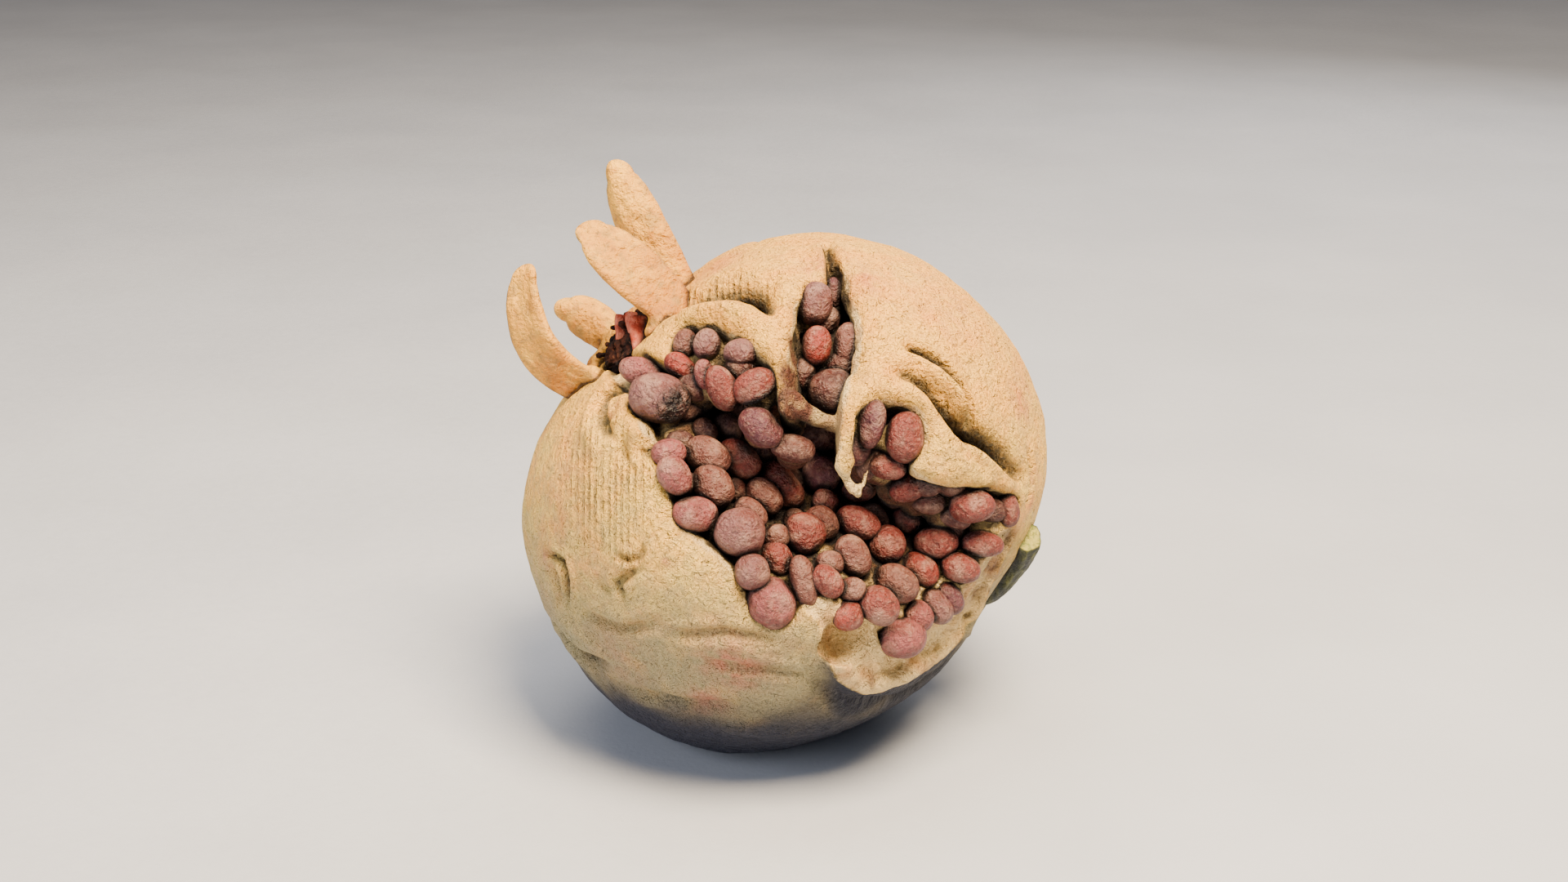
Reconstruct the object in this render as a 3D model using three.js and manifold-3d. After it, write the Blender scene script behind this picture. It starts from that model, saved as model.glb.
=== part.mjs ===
// An open pomegranate, lying on a small flat of its rind with the torn side facing -Y and up.
//
// The fruit is modelled in a face frame with its origin at the middle of the body: x runs across
// the torn face towards the stem, y up it, and z straight out of it. The exported group tilts
// that frame back and stands it on the ground, z = 0. Everything is in millimetres.
//
// Most shapes are set out on the face as seen straight on, as [x, y], and find their own depth
// from the body's surface.

import * as THREE from "three";
import { mergeVertices } from "three/addons/utils/BufferGeometryUtils.js";
import Module from "manifold-3d";

const wasm = await Module();
wasm.setup();

// ---------------------------------------------------------------- driving dimensions

const BODY_RADIUS = 50; // a fruit 100 mm across
const RIND_THICKNESS = 5;
const FACE_TILT = THREE.MathUtils.degToRad(20); // the torn face looks up by this much
const CENTRE_HEIGHT = 46.5; // under the body's radius, which leaves the flat that it rests on
const GAP = 0.4; // between neighbouring pieces
const BED_GAP = 1; // between the pulp and the rind round it

const BODY_DETAIL = 10; // subdivisions of the icosahedron behind each rounded solid
const CAVITY_DETAIL = 5;
const BED_DETAIL = 6;
const ROOT_DETAIL = 0;
const ARIL_FACES = [7, 5]; // round and along each aril

// Slow swells and hollows of the body: bearing round the face, lean out of it, rise, spread.
const SWELLS = [
  { bearing: 133, lean: 14, rise: -8.5, spread: 22 }, // shoulder sunk round the crown
  { bearing: 325, lean: 18, rise: -6.5, spread: 22 }, // corner where the rind has torn away
  { bearing: 35, lean: 0, rise: 1.6, spread: 30 }, // fuller top on the stem side
  { bearing: 238, lean: 0, rise: 2.0, spread: 18 }, // cheek under the crown
  { bearing: 286, lean: 0, rise: -2.5, spread: 16 }, // flatter underside
  { bearing: 338, lean: -8, rise: -4, spread: 10 }, // hollow that the stem grows from
  { bearing: 186, lean: 0, rise: 0.9, spread: 12 }, // cheek below the crown
].map(({ bearing, lean, rise, spread }) => ({
  towards: bearingToDirection(bearing, lean),
  rise,
  spread: THREE.MathUtils.degToRad(spread),
}));

// Folds pressed into the skin of the upper lobes.
const FOLDS = [
  { depth: 3.2, width: 2.6, line: [[19, 21], [25, 16.5], [32, 10.5], [38, 7], [44, 1]] },
  { depth: 2.0, width: 1.6, line: [[20.5, 24.5], [27, 21], [31, 15], [33, 11]] },
  { depth: 2.6, width: 2.4, line: [[-19.5, 33], [-13, 34], [-7.5, 34.5], [-3, 33], [-1.5, 29]] },
];

// The edge of the torn skin: the lower rim from the crown round to the stem, then back along the
// lobes that hang over it, each with the pocket in its face.
const LOWER_RIM = [
  [-31.6, 20.4], [-27.3, 16], [-24.9, 10.8], [-22.7, 7.6], [-21.2, 1.7], [-19.5, -5.3],
  [-15.6, -8.6], [-11.4, -11.4], [-7.9, -15.7], [-5.9, -21.4], [-1, -23.8], [3.2, -20.9],
  [5.7, -22.8], [7.5, -28], [9, -30.8], [12, -34], [15.8, -35.5], [20.4, -34.9],
  [28.4, -30.7], [34.4, -27.1], [34.4, -22.3], [36.3, -17.6], [39, -11.6], [41.2, -7.1],
];
const STEM_LOBE_EDGE = [
  [43, -1.5], [38.6, 0.6], [32.5, 0.6], [26.4, 1.7], [22.1, 3.8], [24.3, 8], [23.3, 13.6],
  [20, 15.4], [15.8, 15.9], [13.2, 14], [12.4, 7.9], [11.8, 1.4], [9.2, 6.5], [9.6, 12.8],
];
const CLEFT_EDGE = [
  [11.6, 18.4], [12.3, 22.7], [13.2, 28.6], [11.5, 34.7], [9.7, 42.1], [7.7, 41.2],
  [7.2, 36.2], [2.6, 36.2], [1.4, 28.5], [0.4, 22.6], [0, 16.9], [-1, 13.4],
];
const CROWN_LOBE_EDGE = [
  [-1.6, 19.8], [-4.5, 23.4], [-8, 26.7], [-11.7, 28.7], [-16, 29.5], [-19, 28.8],
  [-20.5, 24.5], [-19.8, 21.2], [-23.2, 23.2], [-28.1, 25.2], [-32.9, 22.6],
];
const MOUTH = [...LOWER_RIM, ...STEM_LOBE_EDGE, ...CLEFT_EDGE, ...CROWN_LOBE_EDGE];

// The bed of seeds sinks behind the whole torn face, under the lobes as well.
const BED_REGION = [
  ...LOWER_RIM, [47, 3], [45, 19], [34, 35], [16, 44], [0, 46], [-18, 41], [-31, 30],
];
const BED_DEPTH = 24; // below the rind's inner surface, where it is deepest
const BED_REACH = 28; // from the rim to there

// The arils in the bed: [across, up, length, thickness, turn in degrees].
const BASIN_ARILS = [
  [-20.2, 6.6, 5.8, 4.8, 10], [-18.9, 2.4, 7, 5.3, -60], [-16.2, -3.8, 7.7, 5.8, -10],
  [-8.4, -7, 8.5, 8.1, 0], [-5.6, -13.7, 6, 6, 0], [-2.4, -19.3, 8.7, 8.2, -45],
  [-13.3, 6.1, 8.1, 6, -30], [-12.5, 1, 7.9, 6.2, -55], [-8.6, 0.6, 4.4, 3.4, -70],
  [-5.7, -4.1, 6.4, 4.5, -40], [-8.6, 6, 8, 6, -40], [-0.7, 1, 9.5, 6.1, -50],
  [-3.6, -1, 7.2, 5.2, -45], [-1.8, -7.8, 4.6, 4.2, 0], [-1.3, -12, 6.5, 5.1, -60],
  [3.1, -15.1, 8.8, 4.5, -75], [3.3, -7.2, 7.2, 6.6, -45], [6.5, -5.8, 6.4, 5.5, -50],
  [7.3, -12.4, 4.8, 4.3, 0], [7.4, -15.6, 6.2, 4.5, -50], [10.7, -21.4, 5.4, 5.1, 0],
  [11.3, -16.9, 4.6, 4.2, 0], [12, -11.7, 7.5, 5.5, -60], [6, 3.1, 6.8, 6.2, 0],
  [7.3, -1.9, 4.8, 4.1, -30], [12.7, -5.4, 7.9, 5.4, -25], [17.8, -9.7, 6.6, 6.2, 60],
  [19.6, -16.2, 8, 6.2, -30], [16.3, -19.9, 7.3, 6.1, -40], [19.8, -25.8, 8.8, 7, 0],
  [23.7, -22.3, 5.9, 5, -45], [23.9, -13.8, 7, 5.3, -35], [26.7, -9.1, 7.9, 5.6, 5],
  [21.9, -5.2, 5.6, 4.4, -20], [31.7, -13.8, 6.8, 5, -15], [26.7, -20.2, 6.8, 4.9, -50],
  [29.5, -19.2, 6.2, 4.4, -60], [35.3, -9.4, 7.4, 4.4, -5], [26.4, -2.8, 6.5, 4.7, -30],
  [19.6, -1, 6.8, 4.8, -10], [13.3, 0.3, 5.9, 4.2, 0], [-15.5, 11.8, 7, 5.2, -30],
  [-9.4, 12.6, 7, 5.2, 20], [-2, 13.4, 6.8, 5, -40], [6.6, 9.8, 6.8, 5, 10],
];

// The arils that hang under the torn skin: as above, then how deep their middles sit below it.
const HANGING_CLUSTERS = {
  arils_crown_lobe: [
    [-17.8, 26, 5.2, 4, 80, 3.2], [-13.7, 26.1, 5.4, 4.6, 80, 3], [-8.2, 24.1, 5.8, 4.7, 0, 3],
    [-18.2, 21.8, 6, 4, -35, 4], [-14.1, 20.4, 5.1, 3.4, -80, 4], [-11.1, 18.3, 7.9, 5.1, -65, 3],
    [-4.9, 18.5, 7.6, 5.3, 30, 3], [-4.6, 11.4, 7.8, 5.9, -35, 5], [1.3, 7.4, 7.5, 4.6, -10, 8],
  ],
  arils_cleft: [
    [5.1, 33, 7.5, 6.1, 80, 5], [5.4, 25.4, 6.8, 5, 85, 6], [11, 26.2, 7.7, 4.9, 85, 7],
    [7.6, 17.5, 8.2, 7.6, 0, 9],
  ],
  arils_stem_lobe: [
    [14.7, 11.2, 8.4, 4.4, 80, 3.5], [20.6, 9.6, 8.7, 6.5, 85, 3], [17.9, 4.3, 6.2, 4.4, -10, 7],
    [24, 1.3, 5.9, 4, -10, 8], [33.4, -2.5, 8.1, 5.8, 0, 3.5], [40, -3, 6.2, 4.2, -80, 3],
    [28.6, 1.5, 6.4, 4.6, -10, 8], [37, -3.2, 6, 4.4, -20, 5.5],
  ],
  arils_crown: [[-22.3, 16.4, 10.2, 8.2, -15, 3.5], [-25.5, 21.2, 8.7, 5, -20, 3.5]],
};
const ROOT_RADIUS = 4.8; // of the pulp behind each of them
const ROOT_DEPTH = 6; // from the aril's middle to the pulp's

// Walls of pith that hang in from the rind, either side of the cleft.
const SEPTA = [
  { outline: [[2.6, 36], [1.4, 28.5], [0.4, 22.6], [-0.6, 15], [-2, 17], [-1.2, 24], [0, 34]],
    from: 0.72, to: 0.97 },
  { outline: [[12.8, 22], [11.9, 14], [12.6, 8], [11.8, 2], [10, 6], [9.8, 13], [10.8, 20]],
    from: 0.78, to: 0.99 },
];

// The crown of the calyx: a torn tube about an axis through the body's middle, and its sepals.
const CROWN_CENTRE = new THREE.Vector3(-26.7, 28.1, 12);
const TUBE = { inner: 9.8, outer: 12.8, foot: -6, lip: 3.4 };
const TUBE_TEAR = { from: 200, to: 282 }; // degrees round the axis, where the front has gone
const CUP = { radius: 9, depth: 3.6 }; // the hollow at the foot of the tube
const SEPALS = [
  {
    root: [-18.2, 34.6, 7.3], bend: [-28.9, 49.7, 8.3], tip: [-32, 60.5, 8],
    inside: [-0.4, -0.35, 0.85], width: 10, thick: 4,
  },
  {
    root: [-17.2, 30.3, 17.8], bend: [-29, 40.5, 23.1], tip: [-36, 47.2, 20],
    inside: [-0.3, -0.3, -0.9], width: 10.5, thick: 4.2,
  },
  {
    root: [-28.9, 26.3, 1], bend: [-38, 34.9, -1.5], tip: [-42.6, 35.2, -2],
    inside: [0.35, 0, 0.93], width: 8, thick: 3.8,
  },
  {
    root: [-32.7, 18.5, 11.1], bend: [-50, 23.6, 14.4], tip: [-47.2, 41.2, 16],
    inside: [0.6, 0.2, -0.75], width: 8.2, thick: 4,
  },
];
// Half-width along a sepal, from root to tip.
const SEPAL_PROFILE = [
  [0, 0], [0.62, 0], [0.78, 0.12], [0.95, 0.28], [1, 0.45], [0.92, 0.62], [0.74, 0.8],
  [0.5, 0.93], [0.26, 0.985], [0, 1],
];
const STAMEN_COUNT = 10;

// The stem, curving up from the body's side.
const STEM_RADIUS = 2.8;
const STEM_KNUCKLE = 3.4; // the swelling where it leaves the rind
const STEM_PATH = [[35, -19.5, -8], [39.5, -17.5, -3.5], [42.2, -13.4, 2.5], [44.2, -8.8, 8]];

// ---------------------------------------------------------------- surfaces by formula

function bearingToDirection(bearing, lean) {
  const [b, l] = [bearing, lean].map(THREE.MathUtils.degToRad);
  return new THREE.Vector3(Math.cos(b) * Math.cos(l), Math.sin(b) * Math.cos(l), Math.sin(l));
}

// Distance from [x, y] to the line from a to b.
function distanceToSegment(x, y, a, b) {
  const [dx, dy] = [b[0] - a[0], b[1] - a[1]];
  const along = ((x - a[0]) * dx + (y - a[1]) * dy) / (dx * dx + dy * dy);
  const t = THREE.MathUtils.clamp(along, 0, 1);
  return Math.hypot(x - a[0] - t * dx, y - a[1] - t * dy);
}

function distanceToLine(x, y, line) {
  const lengths = line.slice(1).map((b, i) => distanceToSegment(x, y, line[i], b));
  return Math.min(...lengths);
}

// Distance to a closed outline, positive inside it.
function distanceInside(x, y, outline) {
  const crossings = outline.filter((a, i) => {
    const b = outline[(i + 1) % outline.length];
    return a[1] > y !== b[1] > y && x < ((b[0] - a[0]) * (y - a[1])) / (b[1] - a[1]) + a[0];
  });
  const distance = distanceToLine(x, y, [...outline, outline[0]]);
  return crossings.length % 2 ? distance : -distance;
}

// The body's radius without its folds.
function smoothRadius(direction) {
  let radius = BODY_RADIUS;
  for (const { towards, rise, spread } of SWELLS) {
    radius += rise * Math.exp(-0.5 * (direction.angleTo(towards) / spread) ** 2);
  }
  return radius;
}

// The skin's radius, with the folds of the upper lobes.
function skinRadius(direction) {
  const radius = smoothRadius(direction);
  if (direction.z < 0) return radius;
  const [x, y] = [direction.x * radius, direction.y * radius];
  const dents = FOLDS.map(
    ({ depth, width, line }) => depth * Math.exp(-((distanceToLine(x, y, line) / width) ** 2)),
  );
  return radius - Math.max(...dents);
}

// The depth, z, of the body's surface at a place on the face.
function faceDepth(x, y) {
  const point = new THREE.Vector3(x, y, BODY_RADIUS / 2);
  for (let pass = 0; pass < 12; pass++) {
    const radius = smoothRadius(point.clone().normalize());
    const depth = Math.sqrt(Math.max(radius * radius - x * x - y * y, 1));
    point.z = (point.z + depth) / 2;
  }
  return point.z;
}

// The depth of the bed that the lower arils sit on.
function bedDepth(x, y) {
  const share = THREE.MathUtils.smoothstep(distanceInside(x, y, BED_REGION), 0, BED_REACH);
  return faceDepth(x, y) - RIND_THICKNESS - GAP - BED_DEPTH * share;
}

// ---------------------------------------------------------------- solids

function solid(geometry) {
  geometry.deleteAttribute("normal");
  geometry.deleteAttribute("uv");
  const merged = mergeVertices(geometry, 1e-4);
  const made = new wasm.Manifold(
    new wasm.Mesh({
      numProp: 3,
      vertProperties: merged.attributes.position.array,
      triVerts: new Uint32Array(merged.index.array),
    }),
  );
  return made;
}

// A geometry with each vertex moved by a function.
function reshape(geometry, move) {
  const position = geometry.attributes.position;
  const vertex = new THREE.Vector3();
  for (let i = 0; i < position.count; i++) {
    const moved = move(vertex.fromBufferAttribute(position, i).clone());
    position.setXYZ(i, moved.x, moved.y, moved.z);
  }
  return geometry;
}

// A round solid whose radius is a function of direction.
function roundSolid(detail, radiusTowards) {
  const ball = new THREE.IcosahedronGeometry(1, detail);
  return solid(reshape(ball, (v) => v.normalize().multiplyScalar(radiusTowards(v))));
}

// A block with an outline on the face, running along rays from the body's middle between two
// shares of its radius, and grown by a distance, with some to spare at its ends.
function blockOnRays(edge, from, to, grow = 0) {
  const outline = grownOutline(edge, 1.3 * grow);
  const [start, end] = [from, to].map((share, i) => share + ((i ? 3 : -3) * grow) / BODY_RADIUS);
  const shape = new THREE.Shape(outline.map(([x, y]) => new THREE.Vector2(x, y)));
  const block = new THREE.ExtrudeGeometry(shape, { depth: 1, steps: 1, bevelEnabled: false });
  return solid(
    reshape(block, ({ x, y, z }) =>
      new THREE.Vector3(x, y, faceDepth(x, y)).multiplyScalar(THREE.MathUtils.lerp(start, end, z)),
    ),
  );
}

// An outline moved outwards by a distance, with mitred corners.
function grownOutline(outline, distance) {
  const points = outline.map(([x, y]) => new THREE.Vector2(x, y));
  const side = THREE.ShapeUtils.area(points) > 0 ? distance : -distance;
  return points.map((point, i) => {
    const arriving = point.clone().sub(points.at(i - 1)).normalize();
    const leaving = points[(i + 1) % points.length].clone().sub(point).normalize();
    const along = arriving.add(leaving).divideScalar(2);
    const reach = side / Math.max(along.lengthSq(), 0.15);
    return [point.x + along.y * reach, point.y - along.x * reach];
  });
}

function join(solids) {
  return wasm.Manifold.union(solids);
}

// The largest separate body of a solid, without the crumbs that a cut can leave.
function mainBody(made) {
  const bodies = made.decompose();
  return bodies.reduce((best, body) => (body.volume() > best.volume() ? body : best));
}

// ---------------------------------------------------------------- the rind

// Everything below the ground, in the face frame.
function groundBlock(top) {
  const block = new THREE.BoxGeometry(4 * BODY_RADIUS, 4 * BODY_RADIUS, BODY_RADIUS);
  block.translate(0, 0, top - CENTRE_HEIGHT - BODY_RADIUS / 2);
  return solid(block.rotateX(FACE_TILT - Math.PI / 2));
}

function crownFrame() {
  const axis = CROWN_CENTRE.clone().normalize();
  const across = new THREE.Vector3(-axis.y, axis.x, 0).normalize().negate();
  const frame = new THREE.Matrix4().makeBasis(across, axis.clone().cross(across), axis);
  return frame.setPosition(CROWN_CENTRE);
}

// The hollow inside the crown's tube.
function crownCup(grow) {
  const [across, deep] = [CUP.radius - grow, CUP.depth - grow];
  const cup = new THREE.SphereGeometry(1, 18, 10).scale(across, across, deep);
  return solid(cup.applyMatrix4(crownFrame()));
}

// The rind with its septa, grown by a distance on every side. The grown one only cuts others.
function rindSolid(grow) {
  const body = roundSolid(BODY_DETAIL, (d) => skinRadius(d) + grow);
  const cavity = roundSolid(CAVITY_DETAIL, (d) => smoothRadius(d) - RIND_THICKNESS - grow);
  const mouth = blockOnRays(MOUTH, 0.6, 1.35, -grow);
  const septa = SEPTA.map(({ outline, from, to }) => blockOnRays(outline, from, to, grow));
  const shell = body.subtract(cavity).subtract(mouth);
  const open = join([shell, ...septa]).subtract(crownCup(grow));
  return mainBody(open.subtract(groundBlock(-grow)));
}

// ---------------------------------------------------------------- arils

function arilSolid([x, y, length, thickness, turn], depth, grow) {
  const seed = new THREE.SphereGeometry(1, ...ARIL_FACES).rotateZ(Math.PI / 2);
  seed.scale(length / 2 + grow, thickness / 2 + grow, thickness * 0.55 + grow);
  seed.rotateZ(THREE.MathUtils.degToRad(turn));
  return solid(seed.translate(x, y, depth));
}

// The pulp behind the lower arils: the cavity's shape, pushed in behind the torn face.
function bedSolid() {
  return roundSolid(BED_DETAIL, (direction) => {
    const inner = smoothRadius(direction) - RIND_THICKNESS - BED_GAP;
    const standsOut = (radius) => {
      const { x, y, z } = direction.clone().multiplyScalar(radius);
      return z > bedDepth(x, y);
    };
    if (direction.z < 0 || !standsOut(inner)) return inner;
    let [low, high] = [0, inner];
    for (let pass = 0; pass < 12; pass++) {
      const middle = (low + high) / 2;
      if (standsOut(middle)) high = middle;
      else low = middle;
    }
    return low;
  });
}

// A lump of pulp behind an aril, towards the body's middle.
function rootSolid(middle, grow) {
  const root = new THREE.IcosahedronGeometry(ROOT_RADIUS + grow, ROOT_DETAIL);
  return solid(root.translate(...middle.clone().setLength(middle.length() - ROOT_DEPTH)));
}

// The bed and its arils, with a lump of pulp under those that stand over its steep side.
function basinSolid() {
  const parts = BASIN_ARILS.flatMap((aril) => {
    const [x, y, , thickness] = aril;
    const middle = new THREE.Vector3(x, y, bedDepth(x, y) + 0.22 * thickness);
    const seed = arilSolid(aril, middle.z, 0);
    const reach = smoothRadius(middle.clone().normalize()) - RIND_THICKNESS;
    return middle.length() > reach ? [seed, rootSolid(middle, 0)] : [seed];
  });
  return join([bedSolid(), ...parts]);
}

// Arils under the torn skin, each with its pulp.
function clusterSolid(arils, grow) {
  const parts = arils.flatMap((aril) => {
    const [x, y, , , , sunk] = aril;
    const middle = new THREE.Vector3(x, y, faceDepth(x, y) - sunk);
    return [arilSolid(aril, middle.z, grow), rootSolid(middle, grow)];
  });
  return join(parts);
}

// ---------------------------------------------------------------- calyx, stamens, stem

// A thick leathery tongue along a curve from root to tip.
function sepalSolid({ root, bend, tip, inside, width, thick }, grow) {
  const ends = [root, bend, tip].map((p) => new THREE.Vector3(...p));
  const spine = new THREE.QuadraticBezierCurve3(...ends);
  const profile = SEPAL_PROFILE.map(([r, t]) => new THREE.Vector2(r, t));
  return solid(
    reshape(new THREE.LatheGeometry(profile, 9), ({ x, y, z }) => {
      const along = spine.getTangent(y);
      const side = along.clone().cross(new THREE.Vector3(...inside)).normalize();
      const face = side.clone().cross(along).normalize();
      return spine
        .getPoint(y)
        .addScaledVector(side, x * (width / 2 + grow))
        .addScaledVector(face, z * (thick / 2 + grow));
    }),
  );
}

// The torn tube that the sepals stand on.
function tubeSolid(grow) {
  const [inner, outer] = [TUBE.inner - grow, TUBE.outer + grow];
  const [foot, lip] = [TUBE.foot - grow, TUBE.lip + grow];
  const wall = [[inner, foot], [outer, foot], [outer, lip - 1], [inner, lip], [inner, foot]];
  const lathe = new THREE.LatheGeometry(wall.map(([r, h]) => new THREE.Vector2(r, h)), 22);
  const ring = solid(lathe.rotateX(Math.PI / 2));
  const tear = new THREE.Shape([new THREE.Vector2(0, 0)]);
  tear.absarc(0, 0, 3 * outer, ...[TUBE_TEAR.from, TUBE_TEAR.to].map(THREE.MathUtils.degToRad));
  const wedge = new THREE.ExtrudeGeometry(tear, {
    depth: 40,
    bevelEnabled: false,
    curveSegments: 4,
  });
  return ring.subtract(solid(wedge.translate(0, 0, -20)));
}

function calyxSolid(grow) {
  const sepals = SEPALS.map((sepal) => sepalSolid(sepal, grow));
  return join([tubeSolid(grow).transform(crownFrame().elements), ...sepals]);
}

// Dried stamens: short pegs leaning out of a small cushion, spread by the golden angle.
function stamenSolid(grow) {
  const cushion = new THREE.SphereGeometry(1, 10, 6);
  cushion.scale(6.2 + grow, 6.2 + grow, 2.6 + grow).translate(0, 0, -1.6);
  const pegs = Array.from({ length: STAMEN_COUNT }, (_, i) => {
    const reach = 5 * Math.sqrt((i + 0.5) / STAMEN_COUNT);
    const height = 7 + 1.5 * Math.cos(5 * i);
    const peg = new THREE.CylinderGeometry(0.8 + grow, 0.9 + grow, height + grow, 5);
    peg.translate(0, height / 2, 0).rotateX(Math.PI / 2).rotateY(reach * 0.07);
    return solid(peg.translate(reach, 0, -2).rotateZ(i * 2.4));
  });
  return join([solid(cushion), ...pegs]).transform(crownFrame().elements);
}

function stemSolid(grow) {
  const path = new THREE.CatmullRomCurve3(STEM_PATH.map((p) => new THREE.Vector3(...p)));
  const section = new THREE.Shape().absarc(0, 0, STEM_RADIUS + grow, 0, 2 * Math.PI);
  const rod = new THREE.ExtrudeGeometry(section, {
    steps: 7,
    curveSegments: 6,
    extrudePath: path,
  });
  const knuckle = new THREE.SphereGeometry(STEM_KNUCKLE + grow, 14, 10);
  return join([solid(rod), solid(knuckle.translate(...STEM_PATH[1]))]);
}

// ---------------------------------------------------------------- the fruit

const skin = new THREE.MeshStandardMaterial({ color: "#dcb985", roughness: 0.62 });
const flesh = new THREE.MeshStandardMaterial({ color: "#a05a50", roughness: 0.45 });
const leather = new THREE.MeshStandardMaterial({ color: "#dfae78", roughness: 0.6 });
const dried = new THREE.MeshStandardMaterial({ color: "#4a2b22", roughness: 0.85 });
const green = new THREE.MeshStandardMaterial({ color: "#6d7348", roughness: 0.7 });

const fruit = new THREE.Group();
fruit.rotation.x = Math.PI / 2 - FACE_TILT;
fruit.position.z = CENTRE_HEIGHT;

function addPiece(name, made, material) {
  const { vertProperties, triVerts } = mainBody(made).getMesh();
  const geometry = new THREE.BufferGeometry();
  geometry.setAttribute("position", new THREE.BufferAttribute(vertProperties, 3));
  geometry.setIndex(new THREE.BufferAttribute(triVerts, 1));
  geometry.computeVertexNormals();
  const mesh = new THREE.Mesh(geometry, material);
  mesh.name = name;
  fruit.add(mesh);
}

// Each piece gives way, with a gap, to those before it.
const pieces = [
  { name: "rind", shape: rindSolid, material: skin },
  { name: "calyx", shape: calyxSolid, material: leather },
  { name: "stem", shape: stemSolid, material: green },
  ...Object.entries(HANGING_CLUSTERS).map(([name, arils]) => ({
    name,
    shape: (grow) => clusterSolid(arils, grow),
    material: flesh,
  })),
  { name: "stamens", shape: stamenSolid, material: dried },
  { name: "arils_basin", shape: basinSolid, material: flesh },
];
const placed = [];
for (const { name, shape, material } of pieces) {
  const made = placed.length ? shape(0).subtract(join(placed)) : shape(0);
  addPiece(name, made, material);
  placed.push(shape(GAP));
}

const root = new THREE.Group();
root.add(fruit);

export default root;
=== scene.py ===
"""An open pomegranate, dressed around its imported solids.

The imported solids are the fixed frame. Each class below is one sub-assembly of the fruit: it holds
its sizes in millimetres, builds its mesh and dresses it. Shapes are worked out in the face frame
of the torn side, whose origin is the middle of the body: u runs across the tear towards the stem,
v up it and w straight out of it. A place on the face is given as (u, v), and finds its own depth
from the skin.
"""

import sys

import functools
import logging
import math
from collections.abc import Callable, Iterable, Sequence
from dataclasses import dataclass, field
from enum import Enum
from typing import ClassVar

import bpy
import numpy as np
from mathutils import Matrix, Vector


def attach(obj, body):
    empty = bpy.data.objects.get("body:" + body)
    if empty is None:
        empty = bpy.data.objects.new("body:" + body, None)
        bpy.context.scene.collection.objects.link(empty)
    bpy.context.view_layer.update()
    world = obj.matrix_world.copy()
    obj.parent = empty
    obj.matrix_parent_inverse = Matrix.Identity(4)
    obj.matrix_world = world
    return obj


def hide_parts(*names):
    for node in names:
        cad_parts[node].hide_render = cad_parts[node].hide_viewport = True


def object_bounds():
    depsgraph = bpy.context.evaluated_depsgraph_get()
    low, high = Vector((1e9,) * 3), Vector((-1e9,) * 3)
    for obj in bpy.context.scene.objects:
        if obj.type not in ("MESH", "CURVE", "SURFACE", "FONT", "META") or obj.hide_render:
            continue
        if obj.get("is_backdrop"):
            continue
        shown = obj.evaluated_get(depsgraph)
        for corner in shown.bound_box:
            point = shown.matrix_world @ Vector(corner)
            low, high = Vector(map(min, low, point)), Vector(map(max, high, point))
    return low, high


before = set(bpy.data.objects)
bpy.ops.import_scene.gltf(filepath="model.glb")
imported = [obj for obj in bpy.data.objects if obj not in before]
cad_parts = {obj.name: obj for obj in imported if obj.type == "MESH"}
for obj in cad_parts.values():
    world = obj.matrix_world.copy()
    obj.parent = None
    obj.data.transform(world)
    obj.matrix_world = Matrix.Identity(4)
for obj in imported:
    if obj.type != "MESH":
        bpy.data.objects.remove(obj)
CAD_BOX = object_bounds()
CLOSE_BY = (1.0, 2.5, 5.0)  # how far off pieces that stand close are looked for, in millimetres, for painted shade
METRES = 0.001  # in a millimetre
LOW_SEEDS_BELOW = -5.5  # up the face, which parts the bed's seeds in two pieces
GOLDEN_ANGLE = 2.39996  # between neighbours that spread evenly over a disc, in radians

log = logging.getLogger("pomegranate")

Array = np.ndarray
Pair = tuple[Array, Array]
Net = Pair  # points, and the quads between them
Mesh = bpy.types.Mesh
Socket = bpy.types.NodeSocket
Place = tuple[float, float]
Point = tuple[float, float, float]
Field = Callable[[Array], Array]


# -------------------- arithmetic on fields


def smoothstep(values: Array, low: float, high: float) -> Array:
    """Eases from 0 at low to 1 at high."""
    share = np.clip((values - low) / (high - low), 0.0, 1.0)
    return share * share * (3.0 - 2.0 * share)


def bell(values: Array, width: float) -> Array:
    """A bell curve, 1 at zero and about a third at the width."""
    return np.exp(-np.square(values / width))


def soft_union(a: Array, b: Array, radius: float | Array) -> Array:
    """The nearer of two fields, with a fillet of about the radius where they meet."""
    share = np.clip(0.5 + 0.5 * (b - a) / radius, 0.0, 1.0)
    return b + (a - b) * share - radius * share * (1.0 - share)


def soft_overlap(a: Array, b: Array, radius: float | Array) -> Array:
    """What is inside both fields, with its edge rounded to about the radius."""
    return -soft_union(-a, -b, radius)


def lengths(vectors: Array) -> Array:
    """The length of each row."""
    return np.sqrt(np.einsum("ij,ij->i", vectors, vectors))


def unit(vectors: Array) -> Array:
    """Each row at length one."""
    return vectors / np.maximum(lengths(vectors), 1e-9)[:, None]


def distance_to_path(places: Array, path: Array) -> Pair:
    """How far places lie from a path of straight stretches, in two or three dimensions.

    Args:
        places: The places, one to a row.
        path: The path's points, one to a row.

    Returns:
        The distances, and how far along the path its nearest point is, from 0 to 1.
    """
    best = np.full(len(places), np.inf, np.float32)
    along = np.zeros(len(places), np.float32)
    for i, (a, b) in enumerate(zip(path[:-1], path[1:], strict=True)):
        step = b - a
        share = np.clip((places - a) @ step / max(float(step @ step), 1e-9), 0.0, 1.0)
        away = lengths(places - a - share[:, None] * step)
        nearer = away < best
        best = np.where(nearer, away, best)
        along = np.where(nearer, (i + share) / (len(path) - 1), along)
    return best, along


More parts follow.
